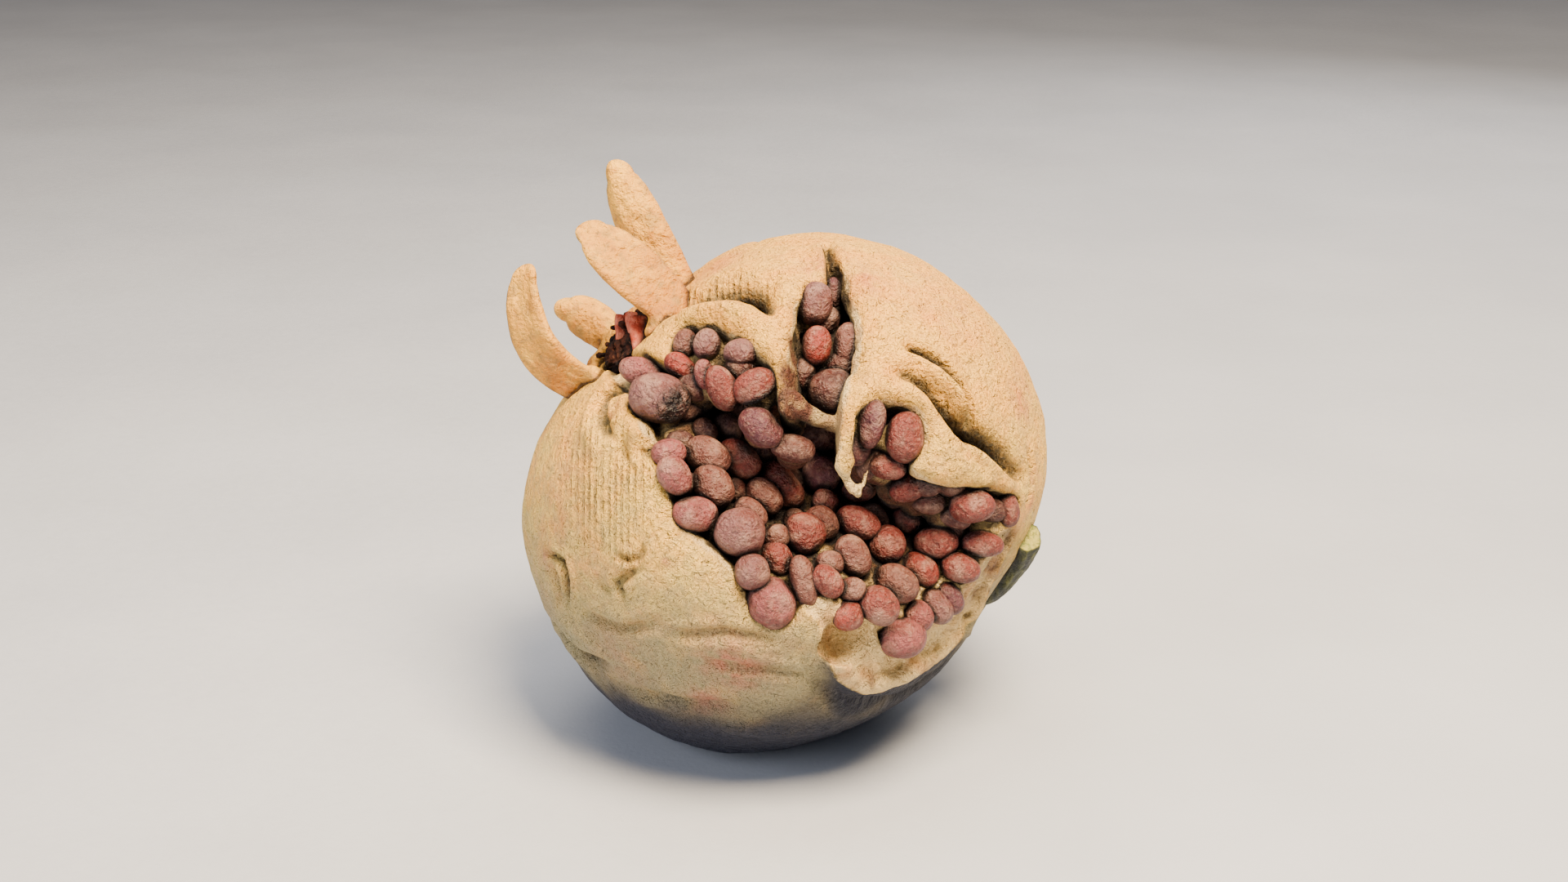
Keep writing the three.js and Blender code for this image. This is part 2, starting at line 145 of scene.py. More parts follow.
def signed_distance(places: Array, outline: Array) -> Array:
    """Distance to a closed outline in the plane, positive inside it.

    Args:
        places: Places, one to a row.
        outline: The outline's points, one to a row.

    Returns:
        One distance for each place.
    """
    closed = np.vstack([outline, outline[:1]])
    away, _ = distance_to_path(places, closed)
    inside = np.zeros(len(places), bool)
    for a, b in zip(closed[:-1], closed[1:], strict=True):
        rise = b[1] - a[1]
        if rise == 0:
            continue
        crosses = (a[1] > places[:, 1]) != (b[1] > places[:, 1])
        inside ^= crosses & (places[:, 0] < (b[0] - a[0]) * (places[:, 1] - a[1]) / rise + a[0])
    return np.where(inside, away, -away)


def sampled(image: Array, at: Array) -> Array:
    """An image's values at places counted in its cells, eased between them.

    Args:
        image: The image.
        at: Places, one to a row.

    Returns:
        One value for each place.
    """
    at = np.clip(at, 0, image.shape[0] - 1.001)
    cell = at.astype(np.int32)
    x, y = (at - cell).T
    i, j = cell.T
    near = image[i, j] * (1 - x) + image[i + 1, j] * x
    far = image[i, j + 1] * (1 - x) + image[i + 1, j + 1] * x
    return (near * (1 - y) + far * y).astype(np.float32)


def rounded(outline: Sequence[Place], passes: int = 2) -> Array:
    """A closed outline with its corners cut back evenly, passes times.

    Args:
        outline: Its points.
        passes: How many times.

    Returns:
        The points of the rounder outline.
    """
    points = np.array(outline, float)
    for _ in range(passes):
        ahead = np.roll(points, -1, axis=0)
        points = np.stack([0.75 * points + 0.25 * ahead, 0.25 * points + 0.75 * ahead], 1)
        points = points.reshape(-1, 2)
    return points


class Grain:
    """Seeded gradient noise in space, from about -1 to 1."""

    CELLS = 256

    def __init__(self, seed: int) -> None:
        """Draws the noise's slopes from a seed.

        Args:
            seed: The seed.
        """
        draw = np.random.default_rng(seed)
        self.order = draw.permutation(self.CELLS).astype(np.int32)
        self.slopes = unit(draw.normal(size=(self.CELLS, 3))).astype(np.float32)

    def __call__(self, points: Array, size: float, octaves: int = 1) -> Array:
        """The noise at points.

        Args:
            points: Points, one to a row.
            size: The size of its largest lumps.
            octaves: How many times finer lumps of half the height are added.

        Returns:
            One value for each point.
        """
        total = np.zeros(len(points), np.float32)
        for octave in range(octaves):
            scale = 2.0**octave
            total += self._layer((points * (scale / size) + 31.7 * octave).astype(np.float32)) / scale
        return 1.4 * total

    def _layer(self, points: Array) -> Array:
        """One layer of noise on a lattice of unit cells.

        Args:
            points: Points, one to a row.

        Returns:
            One value for each point.
        """
        floor = np.floor(points)
        inside = points - floor
        cell = floor.astype(np.int32)
        ease = inside**3 * (inside * (inside * 6.0 - 15.0) + 10.0)
        total = np.zeros(len(points), np.float32)
        wrap = self.CELLS - 1
        for corner in np.ndindex(2, 2, 2):
            at = [cell[:, axis] + corner[axis] for axis in range(3)]
            turn = self.order[at[0] & wrap]
            turn = self.order[(turn + at[1]) & wrap]
            turn = self.order[(turn + at[2]) & wrap]
            offset = inside - np.array(corner, np.float32)
            weight = np.ones(len(points), np.float32)
            for axis in range(3):
                weight *= ease[:, axis] if corner[axis] else 1.0 - ease[:, axis]
            total += weight * np.einsum("ij,ij->i", self.slopes[turn], offset)
        return total


# -------------------- the frame and meshes


@dataclass(frozen=True)
class FaceFrame:
    """Where the torn face stands in the part's frame."""

    tilt_deg: float = 20.0
    centre_height: float = 46.5

    @property
    def axes(self) -> Array:
        """The directions of u, v and w in the part's frame, one to a row."""
        s, c = math.sin(math.radians(self.tilt_deg)), math.cos(math.radians(self.tilt_deg))
        return np.array([[1, 0, 0], [0, s, c], [0, -c, s]])

    def to_part(self, points: Array) -> Array:
        """Points of the face frame in the part's frame, in metres."""
        return (points @ self.axes + [0, 0, self.centre_height]) * METRES

    def height(self, points: Array) -> Array:
        """How high points of the face frame are above the ground, in millimetres."""
        return points @ self.axes[:, 2] + self.centre_height


FACE = FaceFrame()


@dataclass(frozen=True)
class SurfaceNet:
    """Meshes the zero surface of a field on a lattice, with one vertex in each cell it crosses."""

    lower: Point
    upper: Point
    step: float
    block: int = 4  # lattice steps in a coarse cell, used to skip empty space
    reach: float = 5.0  # how many steps from the surface a coarse cell is still looked into

    def mesh(self, shape: Field) -> Net:
        """Meshes a field.

        Args:
            shape: The field, negative inside.

        Returns:
            The vertices, and the quads as rows of four vertex numbers, facing out.
        """
        values = self._sample(shape)
        inside = values < 0
        count = sum(
            inside[i : i - 1 or None, j : j - 1 or None, k : k - 1 or None].astype(np.int8)
            for i, j, k in np.ndindex(2, 2, 2)
        )
        cells = np.argwhere((count > 0) & (count < 8))
        number = np.full(count.shape, -1, np.int32)
        number[tuple(cells.T)] = np.arange(len(cells))
        points = self._vertices(values, cells)
        quads = self._quads(inside, number)
        points, quads = largest_body(points, quads)
        return settle(shape, points, self.step), quads

    def _sample(self, shape: Field) -> Array:
        """The field on the lattice, with only its sign right far from the surface.

        Args:
            shape: The field.

        Returns:
            Its values, as a block of the lattice's shape.
        """
        coarse = self.step * self.block
        low = np.array(self.lower, np.float32)
        counts = np.ceil((np.array(self.upper) - low) / coarse).astype(int)
        nodes = np.stack(np.indices(counts + 1), -1).reshape(-1, 3)
        rough = shape((low + nodes * coarse).astype(np.float32)).reshape(counts + 1)
        near = np.abs(rough) < self.reach * self.step
        busy = np.zeros(counts, bool)
        for i, j, k in np.ndindex(2, 2, 2):
            busy |= near[i : i - 1 or None, j : j - 1 or None, k : k - 1 or None]
        for axis in range(3):
            shifted = np.roll(busy, 1, axis)
            shifted[tuple(0 if a == axis else slice(None) for a in range(3))] = False
            busy |= shifted
        values = rough[:-1, :-1, :-1]
        for axis in range(3):
            values = np.repeat(values, self.block, axis)
        values = np.pad(values, ((0, 1),) * 3, mode="edge")
        blocks = np.argwhere(busy)
        inner = np.stack(np.indices((self.block,) * 3), -1).reshape(-1, 3)
        fine = (blocks[:, None] * self.block + inner).reshape(-1, 3)
        found = np.empty(len(fine), np.float32)
        for chunk in np.array_split(np.arange(len(fine)), max(1, len(fine) // 400_000)):
            found[chunk] = shape((low + fine[chunk] * self.step).astype(np.float32))
        values[tuple(fine.T)] = found
        return values

    def _vertices(self, values: Array, cells: Array) -> Array:
        """The middle of the places where the surface crosses each cell's edges.

        Args:
            values: The field on the lattice.
            cells: The cells that the surface crosses.

        Returns:
            One point for each cell.
        """
        corners = list(np.ndindex(2, 2, 2))
        at = {c: values[tuple((cells + c).T)] for c in corners}
        total = np.zeros((len(cells), 3), np.float32)
        crossings = np.zeros(len(cells), np.float32)
        for a in corners:
            for axis in range(3):
                if a[axis]:
                    continue
                b = tuple(1 if i == axis else a[i] for i in range(3))
                crosses = (at[a] < 0) != (at[b] < 0)
                gap = np.where(crosses, at[a] - at[b], 1.0)
                share = np.where(crosses, at[a] / gap, 0.0)
                where = np.array(a, np.float32)[None].repeat(len(cells), 0)
                where[:, axis] += share
                total += where * crosses[:, None]
                crossings += crosses
        middle = total / crossings[:, None]
        return (np.array(self.lower, np.float32) + (cells + middle) * self.step).astype(np.float32)

    @staticmethod
    def _quads(inside: Array, number: Array) -> Array:
        """A quad across each lattice edge that the surface crosses.

        Args:
            inside: Which lattice points are inside.
            number: The number of each cell's vertex.

        Returns:
            The quads, facing out.
        """
        quads = []
        for axis in range(3):
            after, last = (axis + 1) % 3, (axis + 2) % 3
            start = [slice(1, -1)] * 3
            start[axis] = slice(0, -1)
            end = list(start)
            end[axis] = slice(1, None)
            crosses = inside[tuple(start)] != inside[tuple(end)]
            base = np.argwhere(crosses)
            base[:, after] += 1
            base[:, last] += 1
            ring = []
            for da, dl in ((-1, -1), (0, -1), (0, 0), (-1, 0)):
                cell = base.copy()
                cell[:, after] += da
                cell[:, last] += dl
                ring.append(number[tuple(cell.T)])
            quad = np.stack(ring, 1)
            outward = inside[tuple(base.T)]
            quads.append(np.where(outward[:, None], quad, quad[:, ::-1]))
        return np.vstack(quads)


def largest_body(points: Array, quads: Array) -> Net:
    """Keeps the largest connected part of a mesh, without stray crumbs.

    Args:
        points: Its points.
        quads: Its quads.

    Returns:
        The points and quads of that part.
    """
    label = np.arange(len(points))
    ends = np.concatenate([quads[:, [0, 1]], quads[:, [1, 2]], quads[:, [2, 3]]])
    while True:
        low = np.minimum(label[ends[:, 0]], label[ends[:, 1]])
        fresh = label.copy()
        np.minimum.at(fresh, ends[:, 0], low)
        np.minimum.at(fresh, ends[:, 1], low)
        fresh = fresh[fresh]
        if np.array_equal(fresh, label):
            break
        label = fresh
    kept = label == np.bincount(label).argmax()
    renumber = np.cumsum(kept) - 1
    return points[kept], renumber[quads[kept[quads[:, 0]]]]


def slopes(shape: Field, points: Array, reach: float) -> Pair:
    """A field's value and gradient, from four samples round each point.

    Args:
        shape: The field.
        points: Points, one to a row.
        reach: How far from each point the samples are taken.

    Returns:
        The values and the gradients.
    """
    offsets = np.array([[1, -1, -1], [-1, -1, 1], [-1, 1, -1], [1, 1, 1]], np.float32)
    value = np.zeros(len(points), np.float32)
    gradient = np.zeros((len(points), 3), np.float32)
    for offset in offsets:
        sample = shape(points + offset * np.float32(reach))
        value += sample / 4
        gradient += sample[:, None] * offset / (4 * reach)
    return value, gradient


def settle(shape: Field, points: Array, step: float, passes: int = 1) -> Array:
    """Moves points onto a field's zero surface, by at most most of a lattice step a pass.

    Args:
        shape: The field.
        points: Points near the surface.
        step: The lattice step.
        passes: How many passes.

    Returns:
        The moved points.
    """
    for _ in range(passes):
        value, gradient = slopes(shape, points, 0.25 * step)
        steep = np.maximum(np.einsum("ij,ij->i", gradient, gradient), 0.1)
        move = np.clip(value / steep, -0.8 * step, 0.8 * step)
        points = points - gradient * move[:, None]
    return points.astype(np.float32)


def new_mesh(name: str, points: Array, faces: Array | list) -> Mesh:
    """A smooth-shaded mesh from points of the face frame, in millimetres.

    Args:
        name: Its name.
        points: Its points.
        faces: Its faces, as rows of point numbers.

    Returns:
        The mesh.
    """
    mesh = bpy.data.meshes.new(name)
    rows = faces.tolist() if isinstance(faces, Array) else faces
    mesh.from_pydata(FACE.to_part(points).tolist(), [], rows)
    mesh.update()
    mesh.shade_smooth()
    return mesh


def paint(mesh: Mesh, name: str, values: Array) -> None:
    """Keeps a value, or a colour, for each vertex under a name that materials read.

    Args:
        mesh: The mesh.
        name: The name.
        values: One value, or a row of three, for each vertex.
    """
    if values.ndim == 1:
        layer = mesh.attributes.new(name, "FLOAT", "POINT")
        layer.data.foreach_set("value", values.astype(np.float32))
        return
    layer = mesh.attributes.new(name, "FLOAT_COLOR", "POINT")
    rgba = np.ones((len(values), 4), np.float32)
    rgba[:, :3] = values
    layer.data.foreach_set("color", rgba.ravel())


def vertex_normals(mesh: Mesh) -> Array:
    """The mesh's vertex normals in the face frame.

    Args:
        mesh: The mesh.

    Returns:
        One direction for each vertex.
    """
    normals = np.empty(3 * len(mesh.vertices), np.float32)
    mesh.vertex_normals.foreach_get("vector", normals)
    return normals.reshape(-1, 3) @ FACE.axes.T.astype(np.float32)


def occlusion_shade_share(scene: Field, points: Array, normals: Array, reaches: Sequence[float]) -> Array:
    """How closed in each point is by what stands round it, from 0 in the open to 1, for painted shade.

    Args:
        scene: A field of everything that can stand close.
        points: Points on a surface.
        normals: The surface's outward directions there.
        reaches: How far out to look, in millimetres.

    Returns:
        One share for each point.
    """
    total = np.zeros(len(points), np.float32)
    for reach in reaches:
        open_room = scene((points + normals * reach).astype(np.float32)) / reach
        total += np.clip(1.0 - open_room, 0.0, 1.4)
    return np.clip(total / len(reaches), 0.0, 1.0)


def mount(name: str, mesh: Mesh, finish: "Finish",
          nodes: Iterable[str]) -> bpy.types.Object:
    """Adds a piece to the scene, riding on the part's body.

    Args:
        name: The piece's name.
        mesh: Its mesh.
        finish: What it is made of.
        nodes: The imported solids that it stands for.

    Returns:
        The piece.
    """
    piece = bpy.data.objects.new(name, mesh)
    bpy.context.scene.collection.objects.link(piece)
    mesh.materials.append(finish.material())
    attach(piece, "root")
    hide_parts(*nodes)
    mesh.calc_loop_triangles()
    log.info("%s: %d vertices, %d triangles", name, len(mesh.vertices), len(mesh.loop_triangles))
    return piece


# -------------------- the body and its tear


@dataclass(frozen=True)
class Swell:
    """A slow rise or hollow of the body, placed by its bearing round the face and its lean."""

    bearing: float
    lean: float
    rise: float
    spread: float

    def over(self, towards: Array) -> Array:
        """What it adds to the body's radius in each direction.

        Args:
            towards: Directions, one to a row.

        Returns:
            One rise for each.
        """
        b, t = math.radians(self.bearing), math.radians(self.lean)
        middle = np.array([math.cos(b) * math.cos(t), math.sin(b) * math.cos(t), math.sin(t)])
        return self.rise * np.exp((towards @ middle - 1.0) / math.radians(self.spread) ** 2)


@dataclass(frozen=True)
class Stroke:
    """A crease, where it sinks, or a ridge, along a path of places on the face."""

    path: tuple[Place, ...]
    rise: float
    width: float
    shoulder: float = 0.0  # of the rise, by which the skin swells the other way on both sides

    def over(self, places: Array, path: Array) -> Array:
        """Its height at places, fading towards both ends of the path given in their plane.

        Args:
            places: Places, one to a row.
            path: Its path in the same plane.

        Returns:
            One height for each place.
        """
        away, along = distance_to_path(places, path)
        fade = 1.0 - np.abs(2.0 * along - 1.0) ** 4
        groove = np.exp(-((away / self.width) ** 1.5))
        return self.rise * fade * (groove - self.shoulder * bell(away - 2.3 * self.width, 1.2 * self.width))


@dataclass
class Body:
    """The whole round fruit, before it split."""

    radius_mm: float = 50.0
    swells: tuple[Swell, ...] = (
        Swell(133, 14, -8.5, 22),  # shoulder sunk round the crown
        Swell(325, 18, -6.5, 22),  # corner where the rind has torn away
        Swell(35, 0, 1.6, 30),  # fuller top on the stem side
        Swell(238, 0, 2.0, 18),  # cheek under the crown
        Swell(286, 0, -2.5, 16),  # flatter underside
        Swell(338, -8, -4, 10),  # hollow that the stem grows from
        Swell(186, 0, 0.9, 12),  # cheek below the crown
        Swell(333, -11, 1.4, 5.5),  # collar of skin round the stem
    )

    def radius(self, towards: Array) -> Array:
        """The smooth body's radius in each direction.

        Args:
            towards: Directions, one to a row.

        Returns:
            One radius for each.
        """
        total = np.full(len(towards), self.radius_mm, np.float32)
        for swell in self.swells:
            total += swell.over(towards).astype(np.float32)
        return total

    def depth(self, places: Array) -> Array:
        """The depth, w, of the skin at places on the face.

        Args:
            places: Places, one to a row.

        Returns:
            One depth for each.
        """
        flat = np.einsum("ij,ij->i", places, places)
        depth = np.full(len(places), self.radius_mm / 2)
        for _ in range(14):
            towards = unit(np.column_stack([places, depth]))
            reach = self.radius(towards)
            depth = (depth + np.sqrt(np.maximum(reach**2 - flat, 1.0))) / 2
        return depth

    def on_skin(self, places: Sequence[Place], sunk: float = 0.0) -> Array:
        """Points on the skin at places on the face, or sunk below it."""
        flat = np.array(places, float)
        return np.column_stack([flat, self.depth(flat) - sunk])


@dataclass
class Chart:
    """The skin unrolled on a plane round the middle of the torn face, at the body's own size.

    A direction lies at its angle from straight out of the face, along its own bearing.
    """

    body: Body
    extent: float = 128.0
    step: float = 0.4

    def place(self, towards: Array) -> Array:
        """Where directions lie on the chart, in millimetres.

        Args:
            towards: Directions, one to a row.

        Returns:
            Places, one to a row.
        """
        away = np.arccos(np.clip(towards[:, 2], -1.0, 1.0))
        stretch = self.body.radius_mm * away / np.maximum(np.sin(away), 0.05)
        return towards[:, :2] * stretch[:, None]

    def place_path(self, path: Sequence[Place]) -> Array:
        """Where places on the face lie on the chart."""
        return self.place(unit(self.body.on_skin(path)))

    @property
    def lattice(self) -> Array:
        """The chart's own lattice of places."""
        line = np.arange(-self.extent, self.extent + self.step / 2, self.step)
        return np.stack(np.meshgrid(line, line, indexing="ij"), -1).astype(np.float32)

    def draw(self, image: Array, path: Array, reach: float, mark: Callable) -> None:
        """Adds a mark to an image within reach of a path.

        Args:
            image: The image, on the lattice.
            path: The path, on the chart.
            reach: How far from the path the mark goes.
            mark: A function of places on the chart, giving what to add.
        """
        low = np.floor((path.min(0) - reach + self.extent) / self.step).astype(int)
        high = np.ceil((path.max(0) + reach + self.extent) / self.step).astype(int) + 1
        low, high = np.maximum(low, 0), np.minimum(high, image.shape)
        window = self.lattice[low[0] : high[0], low[1] : high[1]]
        added = mark(window.reshape(-1, 2)).reshape(window.shape[:2])
        image[low[0] : high[0], low[1] : high[1]] += added

    def read(self, image: Array, places: Array) -> Array:
        """An image's values at places on the chart."""
        return sampled(image, (places + self.extent) / self.step)


@dataclass(frozen=True)
class Tear:
    """The edges of the torn skin, as places on the face."""

    lower_rim: tuple[Place, ...] = (
        (-31.6, 20.4), (-27.3, 16), (-24.9, 10.8), (-22.7, 7.6), (-21.2, 1.7), (-19.5, -5.3),
        (-15.6, -8.6), (-11.4, -11.4), (-7.9, -15.7), (-5.9, -21.4), (-1, -23.8), (1.8, -22),
        (3.4, -19.4), (6, -18.4), (8, -19), (10, -20.4), (13, -21), (15.6, -22), (16.8, -26),
        (17.6, -28), (20.5, -28.6), (23.6, -27.4), (25.5, -25), (28.5, -23.6), (31.6, -22), (34, -17.6),
        (37, -12.4), (40.8, -7.1),
    )
    # where the skin has peeled off the pith beside it
    peeled: tuple[Place, ...] = (
        (3, -21), (6, -22), (6.4, -26), (8, -30.2), (9.4, -32.6), (12, -34.7), (16, -35.5), (20.7, -34.2),
        (26.1, -31), (31.6, -27.2), (35, -23.5), (37.2, -18), (40, -12), (42.2, -7.5), (40, -6),
        (34, -14), (30, -21), (20, -25), (12, -18), (4, -17),
    )
    stem_lobe_edge: tuple[Place, ...] = (
        (43, -1.5), (38.6, 0.6), (32.5, 0.6), (26.4, 1.7), (22.1, 3.8), (24.3, 8), (23.3, 13.6),
        (20, 15.4), (15.8, 15.9), (12.3, 13.6), (11.3, 7.9), (11, 1.8), (10, 6.5), (10.4, 12.8),
    )
    cleft_edge: tuple[Place, ...] = (
        (11.6, 18.4), (12.3, 22.7), (13.2, 28.6), (11.5, 34.7), (9.7, 42.1), (7.7, 41.2),
        (7.2, 36.2), (2.6, 36.2), (1.4, 28.5), (0.4, 22.6), (0, 16.9), (-1, 13.4),
    )
    crown_lobe_edge: tuple[Place, ...] = (
        (-1.6, 19.8), (-4.5, 23.4), (-8, 26.7), (-11.7, 28.7), (-16, 29.5), (-19, 28.8),
        (-20.5, 24.5), (-19.8, 21.2), (-23.2, 23.2), (-28.1, 25.2), (-32.9, 22.6),
    )
    under_lobes: tuple[Place, ...] = (
        (47, 3), (45, 19), (34, 35), (16, 44), (0, 46), (-18, 41), (-31, 30),
    )

    @property
    def mouth(self) -> tuple[Place, ...]:
        """The whole outline of the opening."""
        return self.lower_rim + self.stem_lobe_edge + self.cleft_edge + self.crown_lobe_edge

    @property
    def bed(self) -> tuple[Place, ...]:
        """The outline that the bed of seeds sinks within, which runs on under the lobes."""
        return self.lower_rim + self.under_lobes


# -------------------- arils


class Tint(Enum):
    """The colours that the arils come in, as they dry, each as sRGB hex; the darkest is also painted shade.
    """

    ROSE = "#844444"
    DUSTY = "#724846"
    TAN = "#6C4238"
    RUST = "#722F28"
    SCARLET = "#842B20"
    PLUM = "#562C34"
    # the darkest, given mostly to the deepest seeds and to those in the gaps of the bed, as painted shade
    UMBER = "#40201C"


ROSE, DUSTY, TAN, RUST, SCARLET, PLUM, UMBER = Tint


@dataclass(frozen=True)
class Dimple:
    """A dent in an aril, seen from its middle: towards it, how deep as a share, and how wide."""

    towards: Point
    share: float
    width: float


@dataclass(frozen=True)
class Aril:
    """One juicy seed: its place, size and turn on the face, and its depth, w."""

    across: float
    up: float
    length: float
    thickness: float
    turn: float
    depth: float = 0.0
    tint: Tint = Tint.ROSE
    lumps: float = 0.05
    dimples: tuple[Dimple, ...] = ()
    charred: Point = (0, 0, 0)  # the way that a rough dark side faces, in its own axes

    @property
    def middle(self) -> Array:
        """The middle of the aril."""
        return np.array([self.across, self.up, self.depth], np.float32)

    @property
    def half(self) -> Array:
        """Half its length, width and depth."""
        return np.array([self.length, self.thickness, 1.1 * self.thickness], np.float32) / 2

    @property
    def axes(self) -> Array:
        """The directions of its length, width and depth, one to a row."""
        c, s = math.cos(math.radians(self.turn)), math.sin(math.radians(self.turn))
        return np.array([[c, s, 0], [-s, c, 0], [0, 0, 1]], np.float32)

    def field(self, points: Array) -> Array:
        """About how far points are outside the aril's plain ellipsoid.

        Args:
            points: Points, one to a row.

        Returns:
            One distance for each point.
        """
        local = (points - self.middle) @ self.axes.T / self.half
        near = np.maximum(lengths(local), 1e-4)
        return near * (near - 1.0) / np.maximum(lengths(local / self.half), 1e-4)


class Seeds(Enum):
    """The clusters of arils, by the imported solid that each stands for."""

    BASIN = "arils_basin"
    CROWN_LOBE = "arils_crown_lobe"
    CLEFT = "arils_cleft"
    STEM_LOBE = "arils_stem_lobe"
    CROWN = "arils_crown"


# Seeds of the bed: across, up, length, thickness, turn, tint.
BASIN_SEEDS = (
    (-20.2, 6.6, 5.8, 4.8, 10, ROSE), (-18.9, 2.4, 7, 5.3, -60, ROSE), (-16.2, -3.8, 7.7, 5.8, -10, ROSE),
    (-8.4, -7, 8.5, 8.1, 0, DUSTY), (-5.6, -13.7, 6, 6, 0, DUSTY), (-2.4, -19.3, 8.7, 8.2, -45, ROSE),
    (-13.3, 6.1, 8.1, 6, -30, TAN), (-12.5, 1, 7.9, 6.2, -55, TAN), (-8.6, 0.6, 4.4, 3.4, -70, UMBER),
    (-5.7, -4.1, 6.4, 4.5, -40, TAN), (-8.6, 6, 8, 6, -40, RUST), (-0.7, 1, 9.5, 6.1, -50, RUST),
    (-3.6, -1, 7.2, 5.2, -45, TAN), (-1.8, -7.8, 4.6, 4.2, 0, TAN), (-1.3, -12, 6.5, 5.1, -60, RUST),
    (3.1, -15.1, 8.8, 4.5, -75, TAN), (3.3, -7.2, 7.2, 6.6, -45, RUST), (6.5, -5.8, 6.4, 5.5, -50, TAN),
    (7.3, -12.4, 4.8, 4.3, 0, TAN), (7.4, -15.6, 6.2, 4.5, -50, RUST), (10.7, -21.4, 5.4, 5.1, 0, SCARLET),
    (11.3, -16.9, 4.6, 4.2, 0, TAN), (12, -11.7, 7.5, 5.5, -60, TAN), (6, 3.1, 6.8, 6.2, 0, PLUM),
    (7.3, -1.9, 4.8, 4.1, -30, RUST), (12.7, -5.4, 7.9, 5.4, -25, RUST), (17.8, -9.7, 6.6, 6.2, 60, RUST),
    (19.6, -16.2, 8, 6.2, -30, TAN), (16.3, -19.9, 7.3, 6.1, -40, RUST), (19.8, -25.8, 8.8, 7, 0, ROSE),
    (23.7, -22.3, 5.9, 5, -45, ROSE), (23.9, -13.8, 7, 5.3, -35, SCARLET), (26.7, -9.1, 7.9, 5.6, 5, RUST),
    (21.9, -5.2, 5.6, 4.4, -20, RUST), (31.7, -13.8, 6.8, 5, -15, RUST),
    (26.7, -20.2, 6.8, 4.9, -50, DUSTY), (29.5, -19.2, 6.2, 4.4, -60, PLUM),
    (35.3, -9.4, 7.4, 4.4, -5, RUST), (26.4, -2.8, 6.5, 4.7, -30, PLUM), (19.6, -1, 6.8, 4.8, -10, UMBER),
    (13.3, 0.3, 5.9, 4.2, 0, RUST), (6.6, 9.8, 6.8, 5, 10, UMBER),
)

# Seeds that hang under the torn skin: as above, with how deep their middles sit below it.
HANGING_SEEDS = {
    Seeds.CROWN_LOBE: (
        (-17.8, 26, 5.2, 4, 80, TAN, 3.2), (-13.7, 26.1, 5.4, 4.6, 80, DUSTY, 3),
        (-8.2, 24.1, 5.8, 4.7, 0, DUSTY, 3), (-18.2, 21.8, 6, 4, -35, SCARLET, 4),
        (-14.1, 20.4, 5.1, 3.4, -80, ROSE, 4), (-11.1, 18.3, 7.9, 5.1, -65, RUST, 3),
        (-4.9, 18.5, 7.6, 5.3, 30, RUST, 3), (-4.6, 11.4, 7.8, 5.9, -35, PLUM, 5),
        (1.3, 7.4, 7.5, 4.6, -10, UMBER, 8), (-7.6, 21.2, 5.4, 4.4, -30, UMBER, 5.5),
        (-16.4, 18.6, 6, 4.6, -30, UMBER, 7),
    ),
    Seeds.CLEFT: (
        (5.1, 33, 7.5, 6.1, 80, DUSTY, 5), (5.4, 25.4, 6.8, 5, 85, SCARLET, 6),
        (11, 26.2, 7.7, 4.9, 85, TAN, 7), (7.6, 17.5, 8.2, 7.6, 0, UMBER, 9),
        (7.4, 30.6, 5, 4.2, 60, UMBER, 8.5), (3, 20.6, 5.6, 4.4, 80, UMBER, 9.5),
        (9.4, 22.4, 5.4, 4.2, 10, UMBER, 9.5), (8.4, 36, 5.6, 3.8, 80, PLUM, 7.5),
    ),
    Seeds.STEM_LOBE: (
        (14.7, 11.2, 8.4, 4.4, 80, PLUM, 3.5), (20.6, 9.6, 8.7, 6.5, 85, RUST, 3),
        (17.9, 4.3, 6.2, 4.4, -10, RUST, 7), (24, 1.3, 5.9, 4, -10, UMBER, 8),
        (33.4, -2.5, 8.1, 5.8, 0, RUST, 3.5), (40, -3, 6.2, 4.2, -80, RUST, 3),
        (28.6, 1.5, 6.4, 4.6, -10, UMBER, 8), (37, -3.2, 6, 4.4, -20, UMBER, 5.5),
        (21, 0.6, 6.4, 4.8, 20, RUST, 10), (25.4, -1.6, 6.2, 4.6, -15, UMBER, 10.5),
        (30.2, -4.2, 6, 4.4, -20, UMBER, 8.5), (15, 5, 6.6, 5, 60, UMBER, 10.5),
        (12.6, 8.2, 6.4, 4.6, 75, PLUM, 8),
    ),
    Seeds.CROWN: (
        (-22.3, 16.4, 10.4, 8.4, -15, DUSTY, 3.2), (-25.5, 21.2, 8.7, 5, -20, ROSE, 3.5),
    ),
}


